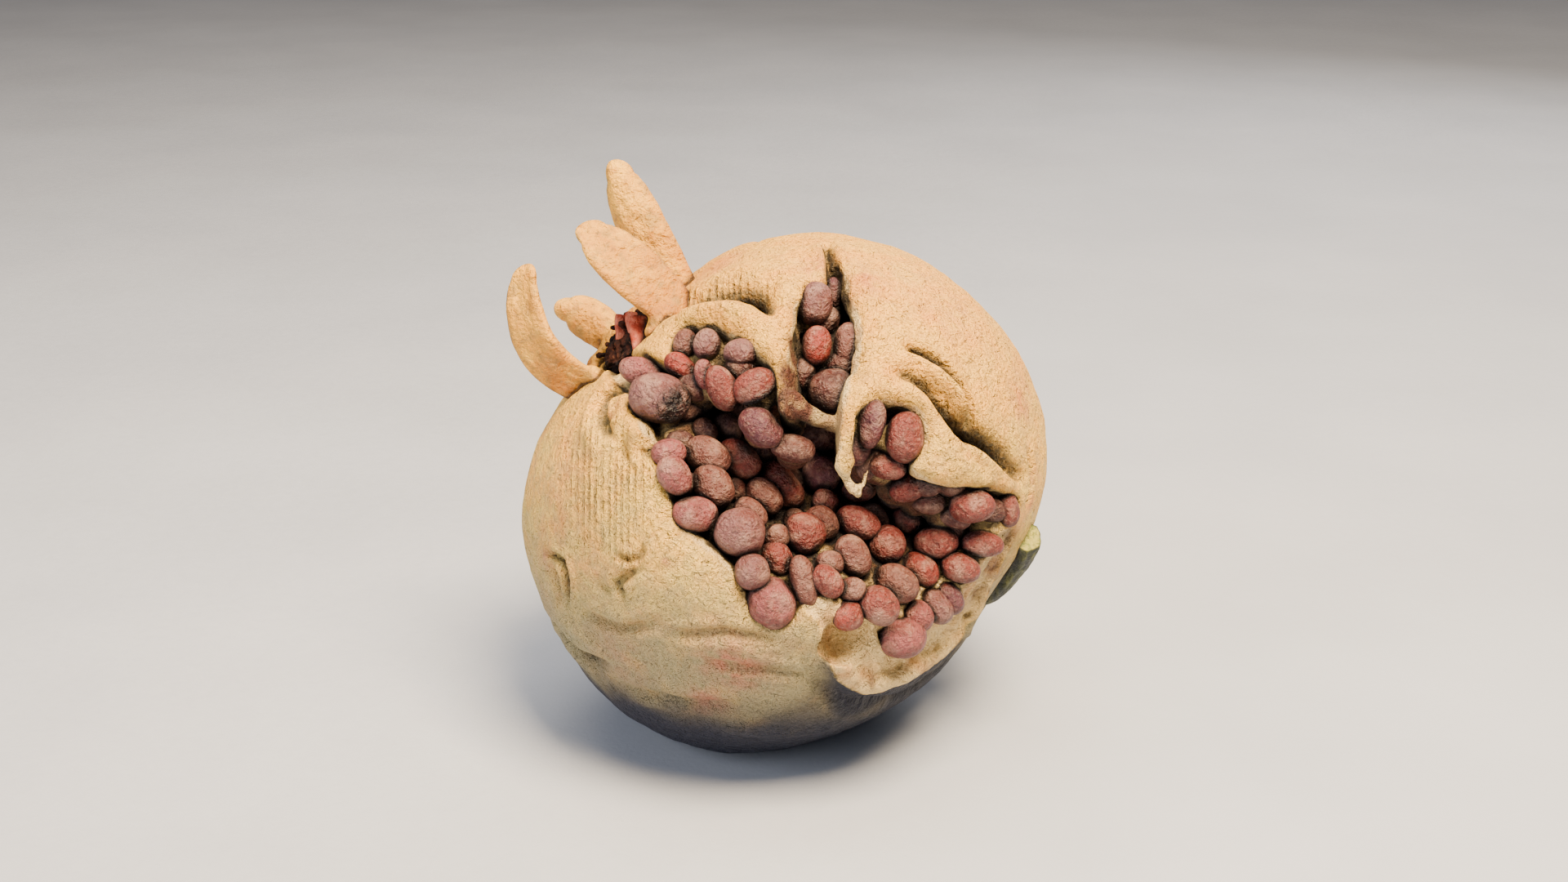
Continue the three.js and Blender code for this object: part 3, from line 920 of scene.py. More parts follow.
@dataclass
class Bed:
    """The pale pulp that the lower seeds are pressed into, as a height, w, over the face."""

    body: Body
    tear: Tear
    rind_thickness: float = 5.4
    sink: float = 24.0  # below the rind's inner surface, where it is deepest
    slope_reach: float = 28.0  # from the rim to there
    low: float = -48.0  # lattice over the face
    high: float = 52.0
    step: float = 0.4
    seat: float = 0.22  # of a seed's thickness, from the bed up to its middle
    cup_rise: float = 0.5  # of the thin pith drawn up round each seed
    shallow: float = 0.7  # from the middles of the lowest seeds down to the pulp between them
    deep: float = 3.4  # and from those of the highest
    folds: tuple[Stroke, ...] = (
        Stroke(((-22, 10.5), (-17, 11.5), (-12.5, 12.5)), 4.0, 3.6),
        Stroke(((11, -1.6), (14, -3), (17.5, -4.4)), 1.8, 2.0),
        Stroke(((34, -21), (36.5, -15.5), (39, -10)), 1.6, 1.8),
    )
    height: Array = field(init=False)
    plain: Array = field(init=False)  # the same without its folds
    steepness: Array = field(init=False)

    def __post_init__(self) -> None:
        """Lays the bed out over the face."""
        line = np.arange(self.low, self.high + self.step / 2, self.step)
        places = np.stack(np.meshgrid(line, line, indexing="ij"), -1)
        flat = places.reshape(-1, 2)
        inside = signed_distance(flat, np.array(self.tear.bed))
        fall = self.rind_thickness + self.sink * smoothstep(inside, 0.0, self.slope_reach)
        self.height = (self.body.depth(flat) - fall).reshape(places.shape[:2])
        self.plain = self.height.copy()
        for fold in self.folds:
            added = fold.over(flat, np.array(fold.path, float))
            self.height += added.reshape(self.height.shape)

    def press(self, seeds: Sequence[Aril]) -> None:
        """Lets the bed follow its seeds, in a thin cup round each, and finds how steep it is.

        Args:
            seeds: The seeds that stand in it.
        """
        line = np.arange(self.low, self.high + self.step / 2, self.step)
        u, v = np.meshgrid(line, line, indexing="ij")
        weights, total = np.full(u.shape, 0.1), 0.1 * self.plain
        for seed in seeds:
            weight = bell(np.hypot(u - seed.across, v - seed.up), 0.7 * seed.length)
            ease = float(smoothstep(np.array(seed.up), -14.0, -1.0))
            weights += weight
            total += weight * (seed.depth - self.shallow - (self.deep - self.shallow) * ease)
        self.height += total / weights - self.plain
        for seed in seeds:
            (cu, cv, _), (lu, lv, _) = seed.axes[0], seed.half
            du, dv = u - seed.across, v - seed.up
            ring = np.hypot((du * cu + dv * cv) / lu, (dv * cu - du * cv) / lv)
            self.height += self.cup_rise * np.exp(-np.square((ring - 1.18) / 0.16))
            self.height -= 1.2 * (1.0 - smoothstep(ring, 0.2, 1.0))
        rise = np.gradient(self.height, self.step)
        self.steepness = np.sqrt(1.0 + rise[0] ** 2 + rise[1] ** 2)

    def read(self, image: Array, places: Array) -> Array:
        """An image's values at places on the face."""
        return sampled(image, (places - self.low) / self.step)

    def above(self, points: Array) -> Array:
        """About how far points are above the bed, and negative below it."""
        height = self.read(self.height, points[:, :2])
        return (points[:, 2] - height) / self.read(self.steepness, points[:, :2])


@dataclass
class ArilCluster:
    """A cluster of seeds that overlap as they stand."""

    name: str
    seeds: list[Aril]
    sides: int = 15  # quads along each edge of the cube that a seed is rounded from
    underside: Point = (0.15, -0.88, -0.45)  # the way that the seeds' lower sides face, which are painted darker as shade
    squareness: float = 2.15  # 2 is an ellipsoid
    swell: float = 1.05  # of a seed over its plain size

    def ball(self) -> Net:
        """Even directions over a ball, and the quads between them, from a cube's faces.

        Returns:
            The directions and the quads.
        """
        n = self.sides
        line = np.tan(np.linspace(-1, 1, n + 1) * math.pi / 4)
        a, b = np.meshgrid(line, line, indexing="ij")
        points, quads = [], []
        index = np.arange((n + 1) ** 2).reshape(n + 1, n + 1)
        square = np.stack([index[:-1, :-1], index[1:, :-1], index[1:, 1:], index[:-1, 1:]], -1)
        for axis in range(3):
            for side in (1, -1):
                face = np.empty((n + 1, n + 1, 3))
                face[..., axis] = side
                face[..., (axis + 1) % 3] = a
                face[..., (axis + 2) % 3] = b * side
                points.append(face.reshape(-1, 3))
                quads.append(square.reshape(-1, 4) + len(quads) * (n + 1) ** 2)
        every = np.vstack(points)
        _, first, back = np.unique(np.round(every, 6), axis=0, return_index=True, return_inverse=True)
        return unit(every[first]), back.reshape(-1)[np.vstack(quads)]

    def shape(self, seed: Aril, towards: Array, grain: Grain, number: int) -> Array:
        """A seed's own surface.

        Args:
            seed: The seed.
            towards: Directions in its own axes.
            grain: The noise of its lumps.
            number: Which seed it is, so that no two are alike.

        Returns:
            Its radius in each direction.
        """
        half = seed.half * self.swell
        near = np.sum(np.abs(towards / half) ** self.squareness, 1) ** (-1 / self.squareness)
        shift = towards + 7.3 * number
        near = near * (1 + seed.lumps * grain(shift, 1.1) + 0.4 * seed.lumps * grain(shift, 0.45))
        near = near * (1 + 0.13 * math.sin(2.4 * number) * towards[:, 0])
        for dimple in seed.dimples:
            aim = unit(np.array([dimple.towards]))[0]
            away = np.arccos(np.clip(towards @ aim, -1, 1))
            near = near * (1 - dimple.share * bell(away, dimple.width))
        return near

    def build(self, everyone: Sequence[Aril], around: Field, grain: Grain) -> Mesh:
        """Makes the cluster's mesh.

        Args:
            everyone: Every seed of the fruit, which can press on these.
            around: A field of the rind and pulp round them.
            grain: The noise of their lumps.

        Returns:
            The mesh, painted with each seed's tint, its charred side, how closed in it is and
            the painted shade of its lower side.
        """
        ball, quads = self.ball()
        points, faces, tints, low, charred = [], [], [], [], []
        for number, seed in enumerate(self.seeds):
            near = self.shape(seed, ball, grain, number + 40 * len(self.name))
            rays = ball @ seed.axes
            points.append(seed.middle + rays * near[:, None])
            faces.append(quads + number * len(ball))
            tints.append(np.tile(linear(seed.tint.value), (len(ball), 1)))
            # each seed's lower side, which the material darkens as painted shade
            low.append(smoothstep(rays @ self.underside, 0.0, 0.9))
            charred.append(smoothstep(ball @ np.array(seed.charred), 0.35, 0.85))
        mesh = new_mesh(self.name, np.vstack(points), np.vstack(faces))
        paint(mesh, "tint", np.vstack(tints))
        paint(mesh, "low", np.concatenate(low))
        paint(mesh, "charred", np.concatenate(charred))
        self.shade(mesh, np.vstack(points), everyone, around, len(ball))
        return mesh

    def shade(self, mesh: Mesh, points: Array, everyone: Sequence[Aril],
              around: Field, per_seed: int) -> None:
        """Paints how closed in the seeds are by each other and by what holds them, for painted shade.

        Args:
            mesh: The cluster's mesh.
            points: Its points.
            everyone: Every seed of the fruit.
            around: A field of what holds them.
            per_seed: How many points each seed has.
        """
        normals = vertex_normals(mesh)
        dark = np.zeros(len(points), np.float32)
        for number, seed in enumerate(self.seeds):
            mine = slice(number * per_seed, (number + 1) * per_seed)
            near = [s for s in everyone if s is not seed and np.linalg.norm(s.middle - seed.middle)
                    < (seed.length + s.length) / 2 + 5.0]

            def scene(at: Array, near: list[Aril] = near) -> Array:
                """The room round this seed.

                Args:
                    at: Points, one to a row.
                    near: The seeds close to it.

                Returns:
                    How far each point is from any of them.
                """
                room = around(at)
                for other in near:
                    room = np.minimum(room, other.field(at))
                return room

            dark[mine] = occlusion_shade_share(scene, points[mine], normals[mine], (0.8, 2.0, 4.0))
        paint(mesh, "occlusion_shade", dark)


@dataclass
class SeedStore:
    """Every seed of the fruit, in its clusters."""

    body: Body
    bed: Bed
    filler_spacing: float = 3.8  # of the small seeds that show dark between the others, tinted darkest as painted shade
    proud: float = 2.5  # by which seeds at the rim stand over the others
    proud_reach: float = 6.5  # from the rim to where they no longer do

    def basin(self) -> list[Aril]:
        """The seeds in the bed.

        Returns:
            The seeds.
        """
        special = {
            5: {"lumps": 0.07, "dimples": (Dimple((0.2, 0.1, 1), 0.12, 0.35), Dimple((-1, -1, 1), 0.1, 0.3))},
            11: {"dimples": (Dimple((0, 1, 0.4), 0.22, 0.6),)},
            16: {"lumps": 0.09, "dimples": (Dimple((0.5, 0.6, 1), 0.12, 0.3),)},
            9: {"dimples": (Dimple((0.1, 0.3, 1), 0.1, 0.3),)},
            27: {"dimples": (Dimple((0.3, 0.3, 1), 0.07, 0.25),)},
            35: {"lumps": 0.07},
        }
        made = []
        for number, (u, v, length, thick, turn, tint) in enumerate(BASIN_SEEDS):
            place = np.array([[u, v]])
            ground = float(self.bed.read(self.bed.plain, place)[0])
            inside = float(signed_distance(place, np.array(self.bed.tear.lower_rim))[0])
            raised = self.proud * (1 - smoothstep(np.array(abs(inside)), 1.0, self.proud_reach))
            depth = ground + self.bed.seat * thick + float(raised) + 0.6 * math.sin(2.1 * number)
            made.append(Aril(u, v, length, thick, turn, depth, tint, **special.get(number, {})))
        return made

    def hanging(self, cluster: Seeds) -> list[Aril]:
        """The seeds of a cluster under the torn skin.

        Args:
            cluster: The cluster.

        Returns:
            Its seeds.
        """
        special = {
            (Seeds.STEM_LOBE, 0): {
                "dimples": (Dimple((0.1, 0.5, 1), 0.3, 0.5), Dimple((-0.8, 0.2, 1), 0.2, 0.4)),
            },
            (Seeds.CROWN_LOBE, 6): {"charred": (-0.1, -1.0, -0.1)},
            (Seeds.CROWN_LOBE, 7): {"lumps": 0.09, "dimples": (Dimple((1, 0.9, 0.6), 0.25, 0.5),)},
            (Seeds.CROWN_LOBE, 8): {"lumps": 0.08},
            (Seeds.CROWN, 0): {"lumps": 0.06, "charred": (0.85, -0.25, 0.45)},
            (Seeds.CLEFT, 3): {"dimples": (Dimple((0.2, 1, 0.7), 0.14, 0.3),)},
        }
        made = []
        for number, (u, v, length, thick, turn, tint, sunk) in enumerate(HANGING_SEEDS[cluster]):
            depth = float(self.body.depth(np.array([[u, v]]))[0]) - sunk
            extra = special.get((cluster, number), {})
            made.append(Aril(u, v, length, thick, turn, depth, tint, **extra))
        return made

    def filler(self, placed: Sequence[Aril], mouth: Array) -> list[Aril]:
        """Small seeds in the gaps of the bed, tinted dark as painted shade, on a jittered lattice.

        Args:
            placed: The seeds that are there.
            mouth: The outline of the opening, as places on the face.

        Returns:
            The seeds that fit between them.
        """
        draw = np.random.default_rng(5)
        line = np.arange(-26, 44, self.filler_spacing)
        lattice = np.stack(np.meshgrid(line, line - 6, indexing="ij"), -1).reshape(-1, 2)
        lattice = lattice + draw.uniform(-1.2, 1.2, lattice.shape)
        inside = signed_distance(lattice, mouth)
        made: list[Aril] = []
        for place, room in zip(lattice, inside, strict=True):
            size, turn = draw.uniform(4.4, 6.2), draw.uniform(-90, 90)
            if room < 3.5 or place[1] < -9:
                continue
            ground = float(self.bed.read(self.bed.plain, place[None])[0])
            seed = Aril(*place.tolist(), size, 0.8 * size, turn, ground - 0.9, UMBER)
            nearest = min(other.field(seed.middle[None])[0] for other in [*placed, *made])
            if nearest > 0.22 * size:
                made.append(seed)
        return made


# -------------------- the rind


@dataclass
class Rind:
    """The torn rind with its pith, and the pulp that holds the seeds."""

    body: Body
    tear: Tear
    bed: Bed
    chart: Chart
    hanging: list[Aril]
    thickness: float = 5.0
    grain: Grain = field(default_factory=lambda: Grain(11))
    step: float = 0.62
    most_triangles: int = 190_000
    root_radius: float = 3.0  # of the pulp behind each hanging seed
    root_depth: float = 3.6
    cup_radius: float = 9.0  # of the hollow inside the crown
    cup_depth: float = 3.6
    crown: Point = (-26.7, 28.1, 12.0)
    socket: tuple[Place, Point] = ((10.3, -25.9), (5.4, 4.5, 4.4))  # an empty seed bed: place, half-sizes
    socket_sunk: float = 1.9  # its middle below the skin
    peel_depth: float = 1.1
    underside_shade_heights: Place = (10.0, 26.0)  # heights over which the painted shade of the underside ends
    dusty: Place = (18.0, 60.0)  # over which the painted shade of the belly ends
    lit_top_heights: Place = (50.0, 84.0)  # over which the warmer colour painted for the lit top comes in
    thinned_from: Place = (5.0, 24.0)  # distances from the tear over which faces grow scarce
    least_spare: float = 0.12  # how freely faces are thinned at the tear itself
    spare_levels: int = 20
    # How far the torn edge is rolled over, at places round it: place, then radius.
    lips: tuple[tuple[Place, float], ...] = (
        ((-9, 30), 5.0), ((-18, 29), 3.2), ((1, 26), 3.6), ((8, 40), 1.8), ((12.5, 26), 4.2),
        ((24, 8), 3.2), ((32, 1), 2.4), ((42, -3), 1.6), ((39, -12), 1.2), ((34, -23), 1.1),
        ((27, -32), 1.2), ((15, -35.5), 1.3), ((7.5, -28), 1.8), ((9, -21.5), 0.8), ((0, -23), 2.6),
        ((-10, -13), 3.0), ((-20, -3), 3.2), ((-24, 9), 3.2), ((-30, 19), 2.4),
    )
    creases: tuple[Stroke, ...] = (
        # folds of the stem lobe
        Stroke(((17.6, 21.4), (22, 20), (24.2, 18), (26.5, 15.5), (28.6, 13), (31, 11), (34, 9.6),
                (37.5, 7.3), (40.3, 4.8), (43.6, 1.8)), -3.5, 1.3, 0.22),
        Stroke(((29, 13.2), (31.5, 11.6), (34.5, 10), (37.8, 7.8), (40.8, 5.2), (44, 1.8)), -1.6, 2.6),
        Stroke(((26.6, 15.2), (29.4, 12.6), (33, 10.2), (36.6, 8.2), (40, 5.4)), -1.6, 0.6),
        Stroke(((20, 25.4), (23, 24.5), (25, 23.4), (27.5, 21.4), (29.5, 18.9), (30.7, 16.8),
                (32.1, 13.8), (33.6, 11)), -2.8, 0.8, 0.3),
        Stroke(((22.6, 21.4), (25.6, 20), (28.4, 17.4), (30.4, 14.2), (32, 11.8)), 1.6, 1.1),
        Stroke(((25.4, 18.6), (27.8, 16.4), (29.6, 13.6)), -0.8, 0.6),
        Stroke(((25, 23.2), (28, 20.8), (30, 17.8), (31.6, 14.4), (33.4, 11.6)), -1.7, 0.6),
        Stroke(((27.4, 12.4), (29.2, 10.6), (31, 9.4), (32.6, 7.4), (33.8, 5.4), (35, 2.6)), -1.3, 0.9, 0.2),
        Stroke(((20.5, 19), (23.3, 16), (24.8, 12), (26.5, 8), (29.5, 4.5), (35, 2.6)), 1.6, 2.4),
        Stroke(((44.2, 8), (45, 4.6), (45, 1), (44, -3)), -1.2, 0.9, 0.3),
        # fold over the crown lobe, and the pillow below it
        Stroke(((-22.4, 32.2), (-17, 34.4), (-12, 35.6), (-7.6, 35.8), (-4.4, 34.4), (-2, 30.6)),
               -3.2, 2.8, 0.25),
        Stroke(((-22.4, 31.4), (-19, 32.8), (-15, 33.6), (-10, 33.6)), -1.6, 0.9),
        Stroke(((-9, 35.8), (-5.5, 34.8), (-3, 32.4), (-1.4, 29.5)), -0.7, 1.0, 0.3),
        Stroke(((-19.5, 30.5), (-15.5, 31.4), (-11, 31.8), (-7, 30.6), (-2.5, 27.5)), 1.5, 2.2),
        Stroke(((-21.8, 32.4), (-21.2, 36), (-18.5, 39.4)), -2.2, 0.9),
        Stroke(((-1.2, 37), (0.6, 33), (1.0, 28), (0.2, 22)), 0.9, 2.0),
        # edges of the slit
        Stroke(((7.4, 46), (8.3, 41), (8.4, 34)), -3.0, 1.0, 0.3),
        Stroke(((12.6, 42), (13.4, 36), (14, 29), (13.6, 23)), 0.9, 2.4),
        # the ear-shaped hollow by the crown, and the bump under it
        Stroke(((-29, 18.4), (-31.4, 18), (-32.9, 16.7), (-33.5, 14.9), (-33.4, 12.8), (-32.2, 11),
                (-30.6, 9.4)), -2.7, 1.5, 0.3),
        Stroke(((-31.4, 17), (-31, 15), (-30.8, 12.4)), -1.4, 2.3),
        Stroke(((-31.4, 10.2), (-29.6, 8.6), (-28.8, 7), (-27.4, 4.6), (-25.6, 2.6)), -0.9, 0.55),
        Stroke(((-29.6, 17.4), (-29, 14.6), (-27.6, 12.4), (-25.4, 10.8), (-22.8, 11.2)), 0.4, 1.2),
        Stroke(((-27.2, 10.6), (-25.6, 10.4), (-24, 10.2)), 1.7, 2.2),
        Stroke(((-28.6, 10.8), (-28.9, 8.9), (-28.2, 7.2), (-27.4, 5.4)), -1.0, 0.55),
        Stroke(((-20.4, 8.6), (-22.6, 7.6), (-24.6, 6.8), (-26.2, 7.2)), -1.9, 1.0),
        # dimples low on the crown side
        Stroke(((-43.8, -10.8), (-41, -12), (-39.4, -13.2)), -1.4, 0.75, 0.3),
        Stroke(((-40.4, -11.8), (-39.4, -15), (-39.4, -17.4), (-39.8, -21)), -2.0, 0.85, 0.35),
        Stroke(((-42.8, -12.5), (-41.9, -16.5), (-40.8, -20.4)), -1.4, 2.2),
        Stroke(((-30, -11), (-27, -12), (-25.4, -11.6), (-24.2, -9.2)), -1.3, 0.6, 0.3),
        Stroke(((-24.4, -12.6), (-28, -15), (-29.7, -16.2), (-28.4, -19.4)), -1.5, 0.75, 0.3),
        Stroke(((-34, -16.3), (-31, -17.4), (-27.6, -17.6)), -0.8, 0.7),
        # wrinkles of the underside
        Stroke(((-37, -21.4), (-33, -23.2), (-29, -24.4), (-21, -22.8)), -1.3, 1.1, 0.3),
        Stroke(((-47, -22), (-41, -27), (-37.5, -30.5), (-31, -32)), -1.7, 1.3, 0.3),
        Stroke(((-43, -21), (-38, -25), (-34, -28.4)), 1.1, 1.9),
        Stroke(((-21, -24.9), (-10.5, -24), (0, -25.8)), -1.0, 0.8, 0.4),
        Stroke(((-19, -27.4), (-10, -26.6), (-2, -28.6)), 0.9, 1.6),
        Stroke(((-14, -29.4), (-8, -30.6), (-3, -31), (4, -32.6)), -1.0, 0.9, 0.4),
        Stroke(((-31, -35), (-20, -37.5), (-7, -38)), -1.0, 1.3, 0.4),
        Stroke(((-14, -42), (0, -43.5), (12, -42)), 0.9, 2.0),
        # the torn lip standing proud of the skin
        Stroke(((6, -27.5), (8.4, -31.6), (12, -34.2), (16.5, -35), (21, -33.6), (27, -30.4),
                (34.5, -24.6)), 1.7, 1.3),
        Stroke(((3, -31), (7.4, -36), (12, -38.6), (18, -39.2), (24, -37.6), (30, -34.4),
                (38, -27)), -2.4, 2.6),
        Stroke(((9.2, -30.2), (10.4, -31), (11.4, -31.6)), 2.3, 1.3),
        Stroke(((12.4, -30.4), (14.4, -31.4), (18, -32)), 0.9, 1.6),
    )
    # Thin walls of pith that hang in beside the cleft: outline, the shares of the radius that
    # they reach from and to, how steeply their tops fall away from the outer edge, and the fillet.
    septa: tuple[tuple[tuple[Place, ...], float, float, float, float], ...] = (
        (((1.8, 37), (3, 29), (2.6, 22), (3.4, 17), (4.6, 14.6), (2, 13.2), (-0.8, 14.6), (-1.1, 22),
          (0.4, 35)), 0.7, 0.965, 2.2, 1.3),
        (((12.6, 21), (11.5, 14), (11.1, 8), (10.6, 4), (10.1, 7), (10.1, 13), (11, 20)),
         0.86, 0.975, 0.0, 1.0),
    )
    # Shreds of pith along paths on the face: path, how far sunk below the skin, and radius.
    shreds: tuple[tuple[tuple[Place, ...], tuple[float, ...], float], ...] = (
        (((12.4, 18), (10.9, 13.5), (10, 9), (9.7, 5), (10.3, 2.4), (11.6, 0.6)),
         (1.6, 1.8, 2, 2.6, 3.2, 3.8), 0.65),
        (((10, 5.2), (9.6, 4.4), (9.9, 3.2)), (2.0, 2.0, 2.4), 1.3),
        (((12.4, -0.4), (10.6, 1.2), (9.6, 3.4)), (4.2, 3.6, 3.4), 0.6),
        (((11.8, 0.4), (13.4, 1.4), (13.8, 3.4)), (3.8, 4.4, 4.8), 0.5),
        # the shelf under the largest seed of the cleft
        (((0.4, 16), (2.6, 14), (5.2, 12.6), (8, 11.6)), (3.4, 5, 6.4, 7.4), 1.7),
        # the crumbling lip under the empty seed bed
        (((9.2, -28.6), (10, -31.4), (13, -33.6), (17, -34)), (0.2, 0.4, 0.9, 1.2), 1.9),
        (((14, -34), (19, -33.4), (23, -32), (28, -29.4), (33.4, -26)), (0.9, 0.9, 1, 1, 1.2), 1.9),
        (((33.6, -26), (35.6, -21), (38, -15)), (1.4, 1.6, 1.8), 1.1),
    )
    relief: Array = field(init=False)
    mouth: Array = field(init=False)
    peel: Array = field(init=False)
    walls: list[Array] = field(init=False)
    roll: Array = field(init=False)
    shred_paths: list[Array] = field(init=False)

    def __post_init__(self) -> None:
        """Draws the creases and edges on the chart."""
        lattice = self.chart.lattice
        flat = lattice.reshape(-1, 2)
        shape = lattice.shape[:2]
        self.relief = np.zeros(shape)
        for crease in self.creases:
            self._draw(crease, self.chart.place_path(crease.path))
        self._scatter_creases()
        near = np.abs(flat).max(1) < 62
        self.mouth = self._outline(flat, near, self.tear.mouth, shape)
        self.peel = self._outline(flat, near, self.tear.peeled, shape)
        self.walls = [self._outline(flat, near, wall[0], shape) for wall in self.septa]
        weights, total = np.full(len(flat), 1e-6), np.full(len(flat), 2.4e-6)
        for place, radius in self.lips:
            middle = self.chart.place_path([place])
            weight = bell(lengths(flat - middle), 7.0)
            weights += weight
            total += weight * radius
        self.roll = (total / weights).reshape(shape)
        self.shred_paths = [
            np.column_stack([np.array(path), self.body.depth(np.array(path, float)) - np.array(sunk)])
            for path, sunk, _ in self.shreds
        ]

    def _outline(self, flat: Array, near: Array, outline: Sequence[Place], shape: tuple) -> Array:
        """Signed distance to an outline of the face on the chart, positive inside.

        Args:
            flat: The chart's places.
            near: Which of them are near the face.
            outline: The outline, on the face.
            shape: The shape of the chart's lattice.

        Returns:
            An image on the chart.
        """
        image = np.full(len(flat), -20.0)
        image[near] = signed_distance(flat[near], rounded(self.chart.place_path(outline)))
        return image.reshape(shape)

    def _scatter_creases(self) -> None:
        """Adds soft creases over the sides and back, which have no marks of their own."""
        draw = np.random.default_rng(8)
        for _ in range(26):
            bearing, away = draw.uniform(0, 2 * math.pi), draw.uniform(84, 118)
            start = away * np.array([math.cos(bearing), math.sin(bearing)])
            turns = np.cumsum(draw.normal(0, 0.45, 5)) + draw.uniform(0, 2 * math.pi)
            steps = np.stack([np.cos(turns), np.sin(turns)], 1) * draw.uniform(2.5, 5.0)
            path = start + np.cumsum(steps, 0)
            self._draw(Stroke((), -draw.uniform(0.35, 0.9), draw.uniform(0.9, 2.2)), path)

    def _draw(self, crease: Stroke, path: Array) -> None:
        """Adds a crease to the relief, along a path on the chart."""
        self.chart.draw(self.relief, path, 3 * crease.width, lambda places: crease.over(places, path))

    def crown_frame(self) -> Array:
        """The directions across, across and along the crown's axis, one to a row.

        Returns:
            The three directions.
        """
        axis = np.array(self.crown) / np.linalg.norm(self.crown)
        across = np.array([axis[1], -axis[0], 0.0])
        across /= np.linalg.norm(across)
        return np.array([across, np.cross(axis, across), axis])

    def skin(self, towards: Array, places: Array) -> Array:
        """The skin's radius, with its creases and slow lumps.

        Args:
            towards: Directions, one to a row.
            places: Where they lie on the chart.

        Returns:
            One radius for each.
        """
        fine = self.grain(towards, 0.06)
        lumps = 0.4 * self.grain(towards, 0.42) + 0.3 * self.grain(towards, 0.15) + 0.1 * fine
        bare = self.chart.read(self.peel, places) + 0.7 * fine
        crumbs = 0.7 * fine + 0.5 * self.grain(towards, 0.03)
        lumps += smoothstep(bare, -0.2, 0.5) * (crumbs - self.peel_depth)
        return self.body.radius(towards) + self.chart.read(self.relief, places) + lumps

    def field(self, points: Array) -> Array:
        """The rind and pulp as a field, negative inside.

        Args:
            points: Points, one to a row.

        Returns:
            One value for each.
        """
        reach = lengths(points)
        towards = points / np.maximum(reach, 1e-6)[:, None]
        places = self.chart.place(towards)
        smooth = self.body.radius(towards)
        skin = self.skin(towards, places)
        outer = reach - skin
        ragged = 0.55 * self.grain(points, 5.0) + 0.3 * self.grain(points, 1.9)
        above = self.bed.above(points) + 0.22 * self.grain(points, 2.6)
        opening = self.chart.read(self.mouth, places) + ragged
        front = points[:, 2] > -12.0
        cavity = soft_overlap(reach - (smooth - self.thickness + 0.5 * ragged), -above, 1.2)
        torn = np.where(front, np.maximum(-opening, -above), 30.0)
        hollow = soft_union(torn, cavity, 1.6)
        roll = self.chart.read(self.roll, places)
        solid = soft_overlap(outer, -hollow, roll)
        for (_, low, high, fall, fillet), wall in zip(self.septa, self.walls, strict=True):
            side = -self.chart.read(wall, places) - 0.4 + 0.35 * ragged
            top = high * smooth - fall * np.clip(points[:, 0], 0.0, 9.0)
            band = np.maximum(low * smooth - reach, reach - top)
            solid = soft_union(solid, np.where(front, soft_overlap(side, band, 1.0), 30.0), fillet)
        solid = self._with_pulp(solid, points, ragged)
        local = (points - np.array(self.crown, np.float32)) @ self.crown_frame().T.astype(np.float32)
        scaled = local / np.array([self.cup_radius, self.cup_radius, self.cup_depth], np.float32)
        cup = (lengths(scaled) - 1.0) * self.cup_depth
        solid = soft_overlap(solid, -cup, 1.5)
        place, half = self.socket
        middle = self.body.on_skin([place], self.socket_sunk)[0]
        bowl = (lengths((points - middle.astype(np.float32)) / np.array(half, np.float32)) - 1.0) * half[1]
        solid = soft_overlap(solid, -bowl, 0.4)
        return soft_overlap(solid, -FACE.height(points).astype(np.float32), 1.2)

    def _with_pulp(self, solid: Array, points: Array, ragged: Array) -> Array:
        """Adds the shreds of pith and the pulp behind each hanging seed.

        Args:
            solid: The field so far.
            points: Points, one to a row.
            ragged: Noise at the points.

        Returns:
            The field with them.
        """
        close = (points[:, 2] > 0) & (solid < 14.0)
        near = points[close]
        part = solid[close]
        rough = 0.5 * ragged[close]
        for seed in self.hanging:
            middle = seed.middle * (1 - self.root_depth / np.linalg.norm(seed.middle))
            part = soft_union(part, lengths(near - middle) - self.root_radius + rough, 2.0)
        for path, (_, _, radius) in zip(self.shred_paths, self.shreds, strict=True):
            away, along = distance_to_path(near, path.astype(np.float32))
            part = soft_union(part, away - radius * (1.1 - 0.35 * along) + 1.2 * rough, 0.9)
        made = solid.copy()
        made[close] = part
        return made

    def build(self, seeds: Sequence[Aril]) -> Mesh:
        """Makes the rind's mesh, with fewer faces where nothing fine shows.

        Args:
            seeds: Every seed of the fruit.

        Returns:
            The painted mesh.
        """
        size = self.body.radius_mm + 6
        step = self.step
        net = SurfaceNet((-size, -size, -size), (size, size, size), step)
        points, quads = net.mesh(self.field)
        log.info("rind net: %d vertices", len(points))
        mesh = self._thinned(points, quads)
        points = np.empty(3 * len(mesh.vertices))
        mesh.vertices.foreach_get("co", points)
        points = (points.reshape(-1, 3) / METRES - [0, 0, FACE.centre_height]) @ FACE.axes.T
        points = settle(self.field, points.astype(np.float32), 0.8 * step, 2)
        _, gradient = slopes(self.field, points, 0.4)
        fine = 0.07 * self.grain(points, 1.5) + 0.05 * self.grain(points, 3.1)
        points = points + unit(gradient) * fine[:, None]
        mesh.vertices.foreach_set("co", FACE.to_part(points).ravel())
        mesh.update()
        mesh.shade_smooth()
        self._paint(mesh, points.astype(np.float32), seeds)
        return mesh

